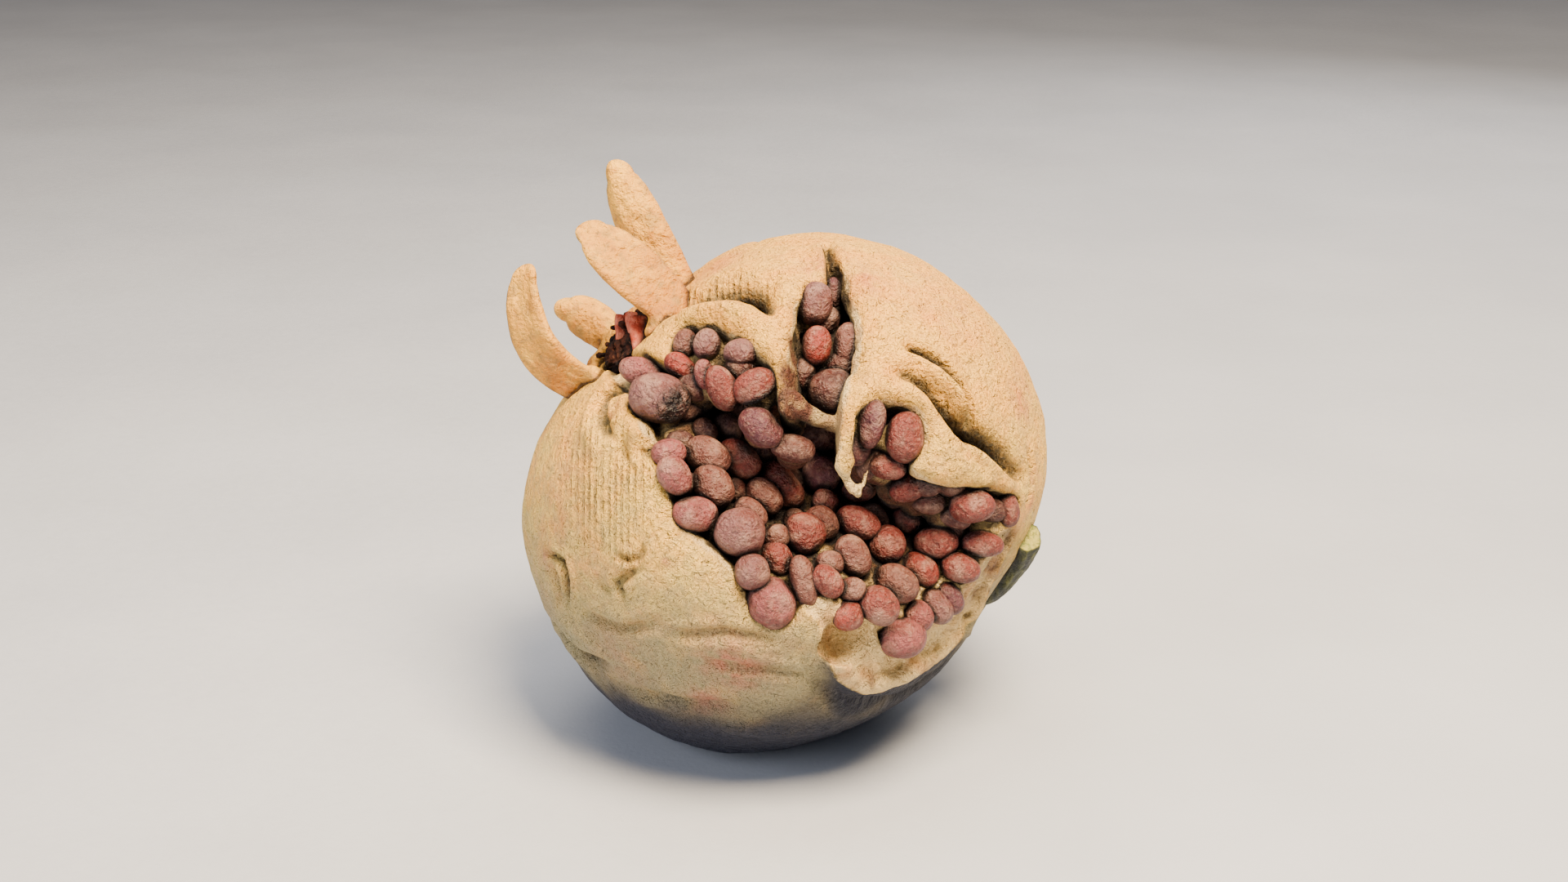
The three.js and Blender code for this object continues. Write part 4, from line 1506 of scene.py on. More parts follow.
    def _thinned(self, points: Array, quads: Array) -> Mesh:
        """Collapses faces far from the tear until the piece is light enough.

        Args:
            points: The net's points.
            quads: Its quads.

        Returns:
            The lighter mesh.
        """
        mesh = new_mesh("rind_net", points, quads)
        piece = bpy.data.objects.new("rind_net", mesh)
        bpy.context.scene.collection.objects.link(piece)
        towards = unit(points)
        tear = self.chart.read(np.maximum(self.mouth, self.peel), self.chart.place(towards))
        spare = smoothstep(-tear, *self.thinned_from) + smoothstep(10.0 - points[:, 2], 0.0, 16.0)
        spare = self.least_spare + (1 - self.least_spare) * np.clip(spare, 0, 1)
        group = piece.vertex_groups.new(name="spare")
        levels = np.round(spare * self.spare_levels).astype(int)
        for level in np.unique(levels):
            group.add(np.flatnonzero(levels == level).tolist(), level / self.spare_levels, "REPLACE")
        thin = piece.modifiers.new("thin", "DECIMATE")
        thin.vertex_group = group.name
        thin.ratio = min(1.0, self.most_triangles / (2 * len(quads)))
        graph = bpy.context.evaluated_depsgraph_get()
        thinned = bpy.data.meshes.new_from_object(piece.evaluated_get(graph))
        bpy.data.objects.remove(piece)
        thinned.name = "rind"
        return thinned

    def _paint(self, mesh: Mesh, points: Array, seeds: Sequence[Aril]) -> None:
        """Paints what each place on the rind is: skin or pith, closed in or stained, and its painted shade
        and lit top.

        Args:
            mesh: The rind's mesh.
            points: Its points.
            seeds: Every seed of the fruit.
        """
        normals = vertex_normals(mesh)
        reach = lengths(points)
        towards = unit(points)
        places = self.chart.place(towards)
        below = self.skin(towards, places) - reach
        everyone = list(seeds)

        def scene(at: Array) -> Array:
            """The rind and the seeds.

            Args:
                at: Points, one to a row.

            Returns:
                How far each is outside them.
            """
            room = self.field(at)
            close = np.flatnonzero((at[:, 2] > 4) & (lengths(at) < 49))
            near = at[close]
            part = room[close]
            for seed in everyone:
                part = np.minimum(part, seed.field(near))
            room[close] = part
            return room

        # how closed in each place is, painted as shade and, on the skin, as olive dirt too; eased where the
        # pith shows pale
        pale = self._marked(places, Mark.PALE)
        closed = occlusion_shade_share(scene, points, normals, (1.0, 2.5, 5.5)) * (1 - 0.9 * pale)
        # depth below the skin, which darkens the pith towards pulp brown and black as painted shade
        deep = smoothstep(below + 1.2 * self.grain(points, 3.0), 4.0, 9.0) * (1 - pale)
        peel = self.chart.read(self.peel, places)
        torn = np.maximum(smoothstep(below, 0.7, 2.2), smoothstep(peel, -0.3, 0.3))
        paint(mesh, "pith", smoothstep(torn + 0.3 * self.grain(points, 1.6), 0.35, 0.65))
        paint(mesh, "deep", deep)
        paint(mesh, "occlusion_shade", closed)
        for mark in (Mark.RIBS, Mark.HATCH, Mark.BLUSH, Mark.STAIN):
            paint(mesh, mark.name.lower(), self._marked(places, mark))
        bare = smoothstep(peel, -0.5, 0.1)
        # how far each crease sinks, which darkens the creases as olive dirt and painted shade
        paint(mesh, "sunk", smoothstep(-self.chart.read(self.relief, places), 0.3, 2.8) * (1 - bare))
        # painted shade: the downward side darker towards the bottom, and a painted shadow in a band under the
        # torn lip
        height = FACE.height(points) + 4 * self.grain(points, 9.0)
        down = smoothstep(-towards[:, 1], -0.3, 0.7)
        dusk = (1 - smoothstep(height, *self.underside_shade_heights)) * down
        under = (1 - smoothstep(-peel, 8.0, 18.0)) * smoothstep(points[:, 0], 4.0, 11.0)
        dusk = np.maximum(dusk, under * smoothstep(-points[:, 1], 25.0, 31.0))
        paint(mesh, "ground", (1 - (1 - dusk) ** 1.8) * (1 - bare))
        # painted light: a warmer colour on the top, where the light falls strongest
        paint(mesh, "crest", smoothstep(height, *self.lit_top_heights))
        # painted shade over the lower half of the downward side
        belly = (1 - smoothstep(height, *self.dusty)) * down
        paint(mesh, "belly", (1 - (1 - belly) ** 2) * (1 - bare))

    def _marked(self, places: Array, mark: "Mark") -> Array:
        """How strongly a mark shows at places on the chart.

        Args:
            places: Places, one to a row.
            mark: The kind of mark.

        Returns:
            A share from 0 to 1 for each.
        """
        total = np.zeros(len(places))
        for u, v, size, strength in mark.value:
            middle = self.chart.place_path([(u, v)])
            total = np.maximum(total, strength * bell(lengths(places - middle), size))
        return np.clip(total, 0, 1)


class Mark(Enum):
    """Where marks of each kind show: place on the face, size and strength."""

    RIBS = (
        (-33, 0, 9, 0.9), (-36, 8, 6, 0.7), (-30, -7, 5, 0.7), (-27, 3, 4, 0.8),
        (-14, 35.5, 3.4, 1.6), (-18, 34.6, 3.2, 1.6), (-9.6, 36, 3.4, 1.5), (-5, 34.6, 2.6, 1.0),
    )
    HATCH = (
        (24, 18.5, 2.0, 0.7), (28, 14.2, 2.4, 0.9), (31.5, 12.6, 3.0, 1.0), (35, 10, 3.4, 1.0),
        (39, 7, 3.2, 1.0), (42.5, 3.5, 2.6, 0.8), (30, 19, 1.8, 0.6), (26.5, 22.6, 1.6, 0.5),
    )
    BLUSH = (
        (6, 39.5, 4, 1.0), (14, 37, 4.5, 0.9), (43, 16, 5, 1.0), (44, 21, 5, 0.8), (30, 32, 9, 0.5),
        (-42, -4, 7, 0.6), (-38, 6, 6, 0.5), (-44, -12, 3.5, 0.9), (-20.6, -12, 0.8, 1.0),
        (-23, 10, 2.2, 0.6), (-12, 42, 8, 0.8), (-9, -30, 6, 1.2), (-14, -37, 4.5, 1.0),
        (46, 3, 2.5, 1.0), (45, -2, 2.5, 1.0), (30.6, 9.6, 1.6, 0.9), (27, 13, 2, 0.4),
        (14.4, -33.6, 2.0, 1.0), (-30, -30, 8, 0.4), (16, 20, 4, 0.4), (-30.6, 14.8, 2.2, 1.6),
    )
    STAIN = (
        (3.8, 31, 2, 1.5), (3, 26, 2.4, 2.4), (1.8, 20.5, 2.8, 2.5), (1.6, 15.5, 3.4, 2.5), (3, 12, 3, 1.5),
        (36, -19, 3.6, 0.8), (38.6, -14, 4, 0.9), (40.8, -9, 4, 0.9), (0, 11, 3, 1.6), (12, 6, 2, 0.6),
        (15, -33, 1.5, 0.8), (32.6, -23, 2.4, 0.8), (-12, 25, 4, 1.2), (-6, 21, 4, 1.2), (-16, 22, 4, 1.2),
        (-20, 14, 5, 1.0), (-12, 14, 6, 1.2), (8, 12, 3, 0.8),
    )
    PALE = (
        (3.4, -20.6, 3.4, 1.0), (14, -3, 2.2, 0.8), (10.2, -25.6, 6, 1.8), (8, -12.6, 1.6, 0.7),
        (17, -31, 6, 1.0), (25, -29, 5.5, 1.0), (31, -25, 4.5, 0.9), (36.4, -17, 3, 0.8),
        (14, -14.6, 1.6, 0.6), (-24, 13, 2.6, 0.9), (-20, 11.6, 2.6, 0.8), (-21, 19, 1.6, 0.6),
        (1, 25, 2.4, 0.7), (11, 14, 2.4, 0.8),
    )


# -------------------- the crown


@dataclass(frozen=True)
class Sepal:
    """A thick leathery lobe of the calyx along a curve from root to tip."""

    root: Point
    bend: Point
    tip: Point
    inside: Point  # towards the inner face
    width: float
    thick: float
    cup: float = 0.3  # of its thickness, by which its edges curl towards the inner face
    tip_share: float = 0.07  # of its length, past which it only rounds off
    profile: tuple[Place, ...] = (
        (0, 0.7), (0.12, 0.8), (0.28, 0.96), (0.45, 1.05), (0.62, 1.04), (0.78, 0.93), (0.88, 0.76),
        (0.93, 0.6),
    )  # its half-width along it, as a share of the widest

    def spine(self, share: Array) -> Pair:
        """Its middle line's points and directions at shares from root to tip.

        Args:
            share: The shares.

        Returns:
            The points and the directions.
        """
        t = share[:, None]
        a, b, c = (np.array(p, np.float32) for p in (self.root, self.bend, self.tip))
        middle = (1 - t) ** 2 * a + 2 * t * (1 - t) * b + t**2 * c
        return middle, unit(2 * (1 - t) * (b - a) + 2 * t * (c - b))

    def field(self, points: Array, grain: Grain) -> Array:
        """About how far points are outside it.

        Args:
            points: Points, one to a row.
            grain: The noise of its streaks.

        Returns:
            One distance for each point.
        """
        path, _ = self.spine(np.linspace(0, 1 - self.tip_share, 33, dtype=np.float32))
        _, along = distance_to_path(points, path)
        along = along * (1 - self.tip_share)
        centre, onward = self.spine(along)
        side = unit(np.cross(onward, np.array(self.inside, np.float32)))
        face = np.cross(side, onward)
        offset = points - centre
        x, y, z = (np.einsum("ij,ij->i", offset, way) for way in (side, face, onward))
        half = np.interp(along, *np.array(self.profile).T).astype(np.float32) * self.width / 2
        deep = self.thick / 2 * (1.0 - 0.35 * smoothstep(along, 0.6, 0.95))
        y = y + self.cup * self.thick * np.square(x / half) - 0.25 * grain(points, 5.0)
        streaks = np.stack([x / 1.3, 5.0 * along, y / 6.0], 1)
        deep = deep + 0.22 * grain(streaks, 1.0, 2)
        halves = np.stack([half, deep, 1.15 * half], 1)
        local = np.stack([x, y, z], 1) / halves
        near = np.maximum(lengths(local), 1e-4)
        return near * (near - 1.0) / np.maximum(lengths(local / halves), 1e-4)


@dataclass
class Calyx:
    """The torn crown: a short tube with four thick lobes."""

    rind: Rind
    inner: float = 9.6
    outer: float = 12.6
    foot: float = -6.0
    lip: float = 3.2
    tear_from: float = 204.0  # degrees round the axis, where its front has gone
    tear_to: float = 278.0
    step: float = 0.45
    sepals: tuple[Sepal, ...] = (
        Sepal((-18.2, 34.6, 7.3), (-28.9, 49.7, 8.3), (-32, 60.5, 8), (-0.4, -0.35, 0.85), 10, 4),
        Sepal((-17.2, 30.3, 17.8), (-29, 40.5, 23.1), (-36, 47.2, 20), (-0.3, -0.3, -0.9), 10.5, 4.2),
        Sepal((-28.9, 26.3, 1), (-38, 34.9, -1.5), (-42.6, 35.2, -2), (0.35, 0, 0.93), 8, 3.8),
        Sepal((-32.7, 18.5, 11.1), (-50, 23.6, 14.4), (-47.2, 41.2, 16), (0.6, 0.2, -0.75), 9.4, 4.2),
    )
    # The torn edge of the tube that runs down beside the seeds.
    neck: tuple[Point, ...] = ((-21.5, 34, 19), (-24, 30, 21), (-23.6, 25.5, 23.5), (-22, 21, 25.5))

    def field(self, points: Array) -> Array:
        """The calyx as a field, negative inside.

        Args:
            points: Points, one to a row.

        Returns:
            One value for each.
        """
        grain = self.rind.grain
        local = (points - np.array(self.rind.crown, np.float32)) @ self.rind.crown_frame().T
        ring = np.hypot(local[:, 0], local[:, 1])
        rim = self.lip + 0.9 * grain(points, 3.2)
        wall = np.abs(ring - (self.inner + self.outer) / 2) - (self.outer - self.inner) / 2
        band = np.maximum(local[:, 2] - rim, self.foot - local[:, 2])
        tube = soft_overlap(wall + 0.25 * grain(points, 2.2), band, 1.3)
        angle = np.degrees(np.arctan2(local[:, 1], local[:, 0])) % 360
        middle, half = (self.tear_from + self.tear_to) / 2, (self.tear_to - self.tear_from) / 2
        gone = np.radians(half - np.abs(angle - middle)) * ring + 0.7 * grain(points, 2.4)
        solid = soft_overlap(tube, gone, 1.0)
        for sepal in self.sepals:
            solid = soft_union(solid, sepal.field(points, grain), 1.8)
        away, along = distance_to_path(points, np.array(self.neck, np.float32))
        strip = away - (1.4 - 0.6 * along) + 0.2 * grain(points, 2.0)
        return soft_union(solid, strip, 1.2)

    def build(self, scene: Field) -> Mesh:
        """Makes the calyx's mesh and paints it.

        Args:
            scene: A field of what stands round it.

        Returns:
            The mesh.
        """
        step = self.step
        net = SurfaceNet((-56, 8, -14), (-8, 66, 34), step)
        points, quads = net.mesh(self.field)
        points = settle(self.field, points, step, 1)
        mesh = new_mesh("calyx", points, quads)
        normals = vertex_normals(mesh)
        points = points + normals * (0.05 * self.rind.grain(points, 1.3))[:, None]

        def everything(at: Array) -> Array:
            """The calyx and the rind."""
            return np.minimum(self.field(at), scene(at))

        # how closed in each place is, which the material turns into painted shade
        paint(mesh, "occlusion_shade", occlusion_shade_share(everything, points, normals, CLOSE_BY))
        axis = self.rind.crown_frame()[2]
        out = points - np.array(self.rind.crown)
        radial = unit(out - (out @ axis)[:, None] * axis)
        paint(mesh, "outer", smoothstep(np.einsum("ij,ij->i", radial, normals), -0.4, 0.5))
        paint(mesh, "height", smoothstep(out @ axis, -4.0, 26.0))
        return mesh


def sweep(path: Array, section: Callable[[float, Array], Array], sides: int,
          caps: int = 5) -> Net:
    """A closed tube along a path.

    Args:
        path: Points along its middle.
        section: A function of the share along and the angles round, giving radii.
        sides: How many sides it has.
        caps: How many rings close each end.

    Returns:
        The points and the quads; those at the two ends meet in a point.
    """
    onward = unit(np.gradient(path, axis=0))
    side = np.cross(onward[0], [0.3, 0.1, 0.94])
    angles = np.arange(sides) * 2 * math.pi / sides
    rings = []
    count = len(path)
    for i, (centre, ahead) in enumerate(zip(path, onward, strict=True)):
        side = side - ahead * (side @ ahead)
        side /= np.linalg.norm(side)
        up = np.cross(ahead, side)
        radius = section(i / (count - 1), angles)
        around = np.outer(np.cos(angles) * radius, side) + np.outer(np.sin(angles) * radius, up)
        if i == 0:
            rings += [centre + around * (c / caps) for c in range(caps)]
        rings.append(centre + around)
        if i == count - 1:
            rings += [centre + around * (c / caps) for c in reversed(range(caps))]
    points = np.concatenate(rings)
    index = np.arange(len(points)).reshape(len(rings), sides)
    ahead = np.roll(index, -1, axis=1)
    quads = np.stack([index[:-1], ahead[:-1], ahead[1:], index[1:]], -1).reshape(-1, 4)
    return points, quads


def joined(parts: Sequence[Net]) -> Net:
    """Several meshes as one.

    Args:
        parts: Their points and quads.

    Returns:
        The joint points and quads.
    """
    offsets = np.cumsum([0] + [len(points) for points, _ in parts[:-1]])
    quads = [quad + offset for (_, quad), offset in zip(parts, offsets, strict=True)]
    return np.concatenate([points for points, _ in parts]), np.concatenate(quads)


@dataclass
class Stamens:
    """The dried stamens in the crown: a crumpled dark cushion, bent threads and two red straps."""

    rind: Rind
    cushion: Point = (7.6, 7.6, 4.0)  # its half-sizes across, across and along the crown's axis
    threads: int = 34
    reach: float = 7.0
    seed: int = 21
    # Straps among the threads: foot, middle and end, then half-width and half-thickness.
    straps: tuple[tuple[Point, Point, Point, float, float], ...] = (
        ((-24.6, 21.6, 20.5), (-27.2, 26, 20), (-27, 32, 18), 1.9, 0.7),
        ((-29.6, 25.6, 15), (-30.8, 29, 15.4), (-30.4, 32.6, 14.6), 1.3, 0.5),
        ((-26.2, 26, 17), (-28.6, 29.6, 16.6), (-28.4, 33, 15.4), 1.4, 0.5),
    )

    def build(self, scene: Field) -> Mesh:
        """Makes the mesh and paints it.

        Args:
            scene: A field of what stands round it.

        Returns:
            The mesh.
        """
        draw = np.random.default_rng(self.seed)
        rows, middle = self.rind.crown_frame(), np.array(self.rind.crown)
        parts = [self._cushion()] + [self._thread(draw, number) for number in range(self.threads)]
        parts = [(points @ rows + middle, quads) for points, quads in parts]
        dull = sum(len(points) for points, _ in parts)
        points, quads = joined(parts + [self._strap(*strap) for strap in self.straps])
        mesh = new_mesh("stamens", points, quads)
        paint(mesh, "strap", (np.arange(len(points)) >= dull).astype(float))
        normals = vertex_normals(mesh)
        # how closed in each place is, which the material turns into painted shade
        paint(mesh, "occlusion_shade", occlusion_shade_share(scene, points, normals, CLOSE_BY))
        return mesh

    def _cushion(self) -> Net:
        """The crumpled middle, in the crown's own frame.

        Returns:
            Its points and quads.
        """
        ball, quads = ArilCluster("", [], sides=40).ball()
        crumple = 0.5 - np.abs(self.rind.grain(ball, 0.36)) - 0.6 * np.abs(self.rind.grain(ball, 0.17))
        near = 1.0 + 0.3 * crumple
        return ball * near[:, None] * self.cushion, quads

    def _thread(self, draw: np.random.Generator, number: int) -> Net:
        """One bent stamen with its swollen end.

        Args:
            draw: The draw of its size and lean.
            number: Which stamen it is.

        Returns:
            Its points and quads.
        """
        out = self.reach * math.sqrt((number + 0.5) / self.threads)
        turn = number * GOLDEN_ANGLE
        foot = np.array([out * math.cos(turn), out * math.sin(turn), 3.4 - 0.4 * out])
        height = draw.uniform(1.2, 3.2)
        lean = draw.uniform(-1.6, 1.4) * np.array([math.cos(turn), math.sin(turn), 0])
        swirl = draw.uniform(-2.4, 2.4) * np.array([-math.sin(turn), math.cos(turn), 0])
        t = np.linspace(0, 1, 9)[:, None]
        path = foot + t * [0, 0, height] + t**2 * lean * 1.6 + np.sin(2.4 * t) * swirl * 0.7
        thick = draw.uniform(0.3, 0.55)

        def section(along: float, angles: Array) -> Array:
            """A thin thread with a bead at its end."""
            bead = 1.0 + 0.9 * math.exp(-(((along - 0.9) / 0.1) ** 2))
            return np.full(len(angles), thick * bead * (1.2 - 0.4 * along))

        return sweep(path, section, 7, 2)

    @staticmethod
    def _strap(foot: Point, bend: Point, end: Point, wide: float, flat: float) -> Net:
        """A flat red strap that stands among the stamens, in the face frame.

        Args:
            foot: Where it starts.
            bend: Where it bends towards.
            end: Where it ends.
            wide: Its half-width.
            flat: Its half-thickness.

        Returns:
            Its points and quads.
        """
        t = np.linspace(0, 1, 19)[:, None]
        path = (1 - t) ** 2 * foot + 2 * t * (1 - t) * np.array(bend) + t**2 * np.array(end)

        def section(along: float, angles: Array) -> Array:
            """A flattened strap with a waved edge.

            Args:
                along: The share along it.
                angles: The angles round it.

            Returns:
                Its radius at each angle.
            """
            w = wide * (1.0 - 0.25 * along + 0.1 * math.sin(9 * along))
            thick = flat * (1.0 + 0.2 * math.sin(14 * along))
            return 1 / np.sqrt((np.cos(angles) / w) ** 2 + (np.sin(angles) / thick) ** 2)

        return sweep(path, section, 20, 3)


@dataclass
class Stem:
    """The short cut stem, ribbed and swollen where it leaves the rind."""

    grain: Grain
    radius: float = 3.0
    path: tuple[Point, ...] = ((32.6, -18.4, -11), (38.8, -17.6, -4.6), (43, -13.4, 3), (45, -8.4, 11))
    cut: Point = (0.25, 0.3, 0.92)  # the way that its cut end faces
    cut_run: float = 7.0  # from the end back to where the cut's slant is spread
    sides: int = 72
    rings: int = 70
    cap_rings: int = 9

    def spine(self) -> Array:
        """A smooth curve through the path's points.

        Returns:
            Points along it.
        """
        knots = np.array(self.path, float)
        ends = np.vstack([2 * knots[0] - knots[1], knots, 2 * knots[-1] - knots[-2]])
        points = []
        for i in range(1, len(ends) - 2):
            a, b, c, d = ends[i - 1 : i + 3]
            t = np.linspace(0, 1, self.rings // 3, endpoint=False)[:, None]
            points.append(0.5 * (2 * b + (c - a) * t + (2 * a - 5 * b + 4 * c - d) * t**2
                                 + (3 * b - a - 3 * c + d) * t**3))
        return np.vstack([*points, knots[-1:]])

    def build(self, scene: Field) -> Mesh:
        """Makes the stem's mesh and paints it.

        Args:
            scene: A field of what stands round it.

        Returns:
            The mesh.
        """
        def section(along: float, angles: Array) -> Array:
            """A ribbed round, wider at its foot and eased at the cut.

            Args:
                along: The share along it.
                angles: The angles round it.

            Returns:
                Its radius at each angle.
            """
            ribs = 0.1 * np.cos(5 * angles + 2 * along) + 0.05 * np.cos(13 * angles + 3)
            foot = 1.1 * math.exp(-(((along - 0.3) / 0.2) ** 2))
            ease = 0.25 * math.exp(-(((1 - along) / 0.012) ** 2))
            return self.radius + foot - ease + ribs

        points, quads = sweep(self.spine(), section, self.sides, self.cap_rings)
        ends = np.zeros(len(points))
        ends[-self.cap_rings * self.sides :] = 1.0
        centre = points[-1]
        away = lengths(points - centre)
        onward = centre - self.spine()[-2]
        ahead = unit(onward[None])[0]
        face = np.array(self.cut)
        back = -(points - centre) @ ahead
        spread = np.where(ends > 0, 1.0, 1.0 - smoothstep(back, 0.0, self.cut_run))
        level = points - np.outer((points - centre) @ ahead, ahead) - centre
        points = points - np.outer(spread * (level @ face) / (onward @ face), onward)
        mesh = new_mesh("stem", points, quads)
        normals = vertex_normals(mesh)
        rough = 0.1 * self.grain(points, 1.8) + 0.06 * self.grain(points, 0.8)
        hollow = ends * 0.5 * bell(away, 1.0)
        rise = rough * (1 - ends) - hollow + 0.1 * ends * self.grain(points, 0.5)
        points = points + normals * rise[:, None]
        mesh.vertices.foreach_set("co", FACE.to_part(points).ravel())
        mesh.update()
        mesh.validate()
        paint(mesh, "cut", ends[: len(mesh.vertices)])
        # how closed in each place is, which the material turns into painted shade
        paint(mesh, "occlusion_shade", occlusion_shade_share(scene, points.astype(np.float32), normals, CLOSE_BY))
        # the stem's foot, which the material darkens as painted shade
        root = lengths(points - np.array(self.path[1]))
        paint(mesh, "root", 1 - smoothstep(root, 2.0, 9.0))
        return mesh


# -------------------- finishes


def linear(colour: str) -> tuple[float, float, float]:
    """An sRGB hex colour as linear red, green and blue."""
    parts = [int(colour[i : i + 2], 16) / 255 for i in (1, 3, 5)]
    return tuple(c / 12.92 if c <= 0.04045 else ((c + 0.055) / 1.055) ** 2.4 for c in parts)


def add_node(tree: bpy.types.NodeTree, kind: str, inputs: Sequence | dict = (), out: int | str = 0,
             **settings: str | float) -> Socket:
    """Adds a node to a material.

    Args:
        tree: The material's nodes.
        kind: The node's type, without its common prefix.
        inputs: What goes into the inputs in use, in their order or by name: an output to link, a
            constant, a text for an sRGB hex colour, or None to leave one as it is.
        out: The output to return, by name or by its place among those in use.
        settings: The node's own settings.

    Returns:
        The output.
    """
    node = tree.nodes.new("ShaderNode" + kind)
    for name, value in settings.items():
        setattr(node, name, value)
    named = isinstance(inputs, dict)
    sockets = [node.inputs[name] for name in inputs] if named else [s for s in node.inputs if s.enabled]
    for socket, value in zip(sockets, inputs.values() if named else inputs, strict=False):
        if isinstance(value, Socket):
            tree.links.new(value, socket)
        elif value is not None:
            socket.default_value = (*linear(value), 1.0) if isinstance(value, str) else value
    return node.outputs[out] if isinstance(out, str) else [o for o in node.outputs if o.enabled][out]


@dataclass(frozen=True)
class Finish:
    """What a piece is made of: how its material starts and ends is the same for all."""

    name: str
    roughness: float = 0.6
    specular: float = 0.35
    marks: ClassVar[tuple[str, ...]] = ()  # the names of what is painted on the mesh for it

    def material(self) -> bpy.types.Material:
        """The material, made once.

        Returns:
            The material.
        """
        made = bpy.data.materials.get(self.name)
        if made:
            return made
        made = bpy.data.materials.new(self.name)
        made.use_nodes = True
        made.node_tree.nodes.clear()
        add = functools.partial(add_node, made.node_tree)
        # places along the face frame's own axes, in millimetres
        turn = (math.radians(FACE.tilt_deg - 90), 0.0, 0.0)
        place = add("Mapping", (add("TexCoord", out="Object"), None, turn, (1 / METRES,) * 3))
        marks = [add("Attribute", out="Fac", attribute_name=name) for name in self.marks]
        colour, layers = self.looks(add, place, marks)
        normal = None
        for height, relief in layers:
            normal = add("Bump", {"Distance": relief * METRES, "Height": height, "Normal": normal})
        wear = patches(add, place, 2.5, 0.3, 0.7)
        rough = add("MapRange", (wear, 0.0, 1.0, self.roughness - 0.1, self.roughness + 0.12))
        shader = add("BsdfPrincipled", {"Base Color": colour, "Roughness": rough, "Normal": normal,
                                        "Specular IOR Level": self.specular})
        surface = made.node_tree.nodes.new("ShaderNodeOutputMaterial").inputs["Surface"]
        made.node_tree.links.new(shader, surface)
        return made

    def looks(self, add: Callable, place: Socket, marks: list[Socket]) -> tuple:
        """The colour, and bump layers as heights with their relief, from places in millimetres."""
        raise NotImplementedError


def patches(add: Callable, place: Socket, size: float, low: float, high: float,
            strength: float = 1.0) -> Socket:
    """Patches of about a size in millimetres, at full strength where the noise is above high."""
    noise = add("TexNoise", (place, 1 / size, 4.0))
    return add("MapRange", (noise, low, high, 0.0, strength))


def coated(add: Callable, base: Socket | str, coats: Sequence[tuple]) -> Socket:
    """A base colour with coats over it in turn.

    Args:
        add: Adds a node to the material.
        base: The base colour.
        coats: For each coat its share, or a tuple of shares to multiply, and its colour.

    Returns:
        The colour.
    """
    for share, colour in coats:
        shares = share if isinstance(share, tuple) else (share,)
        together = functools.reduce(lambda a, b: add("Math", (a, b), operation="MULTIPLY"), shares)
        base = add("Mix", (together, base, colour), data_type="RGBA")
    return base


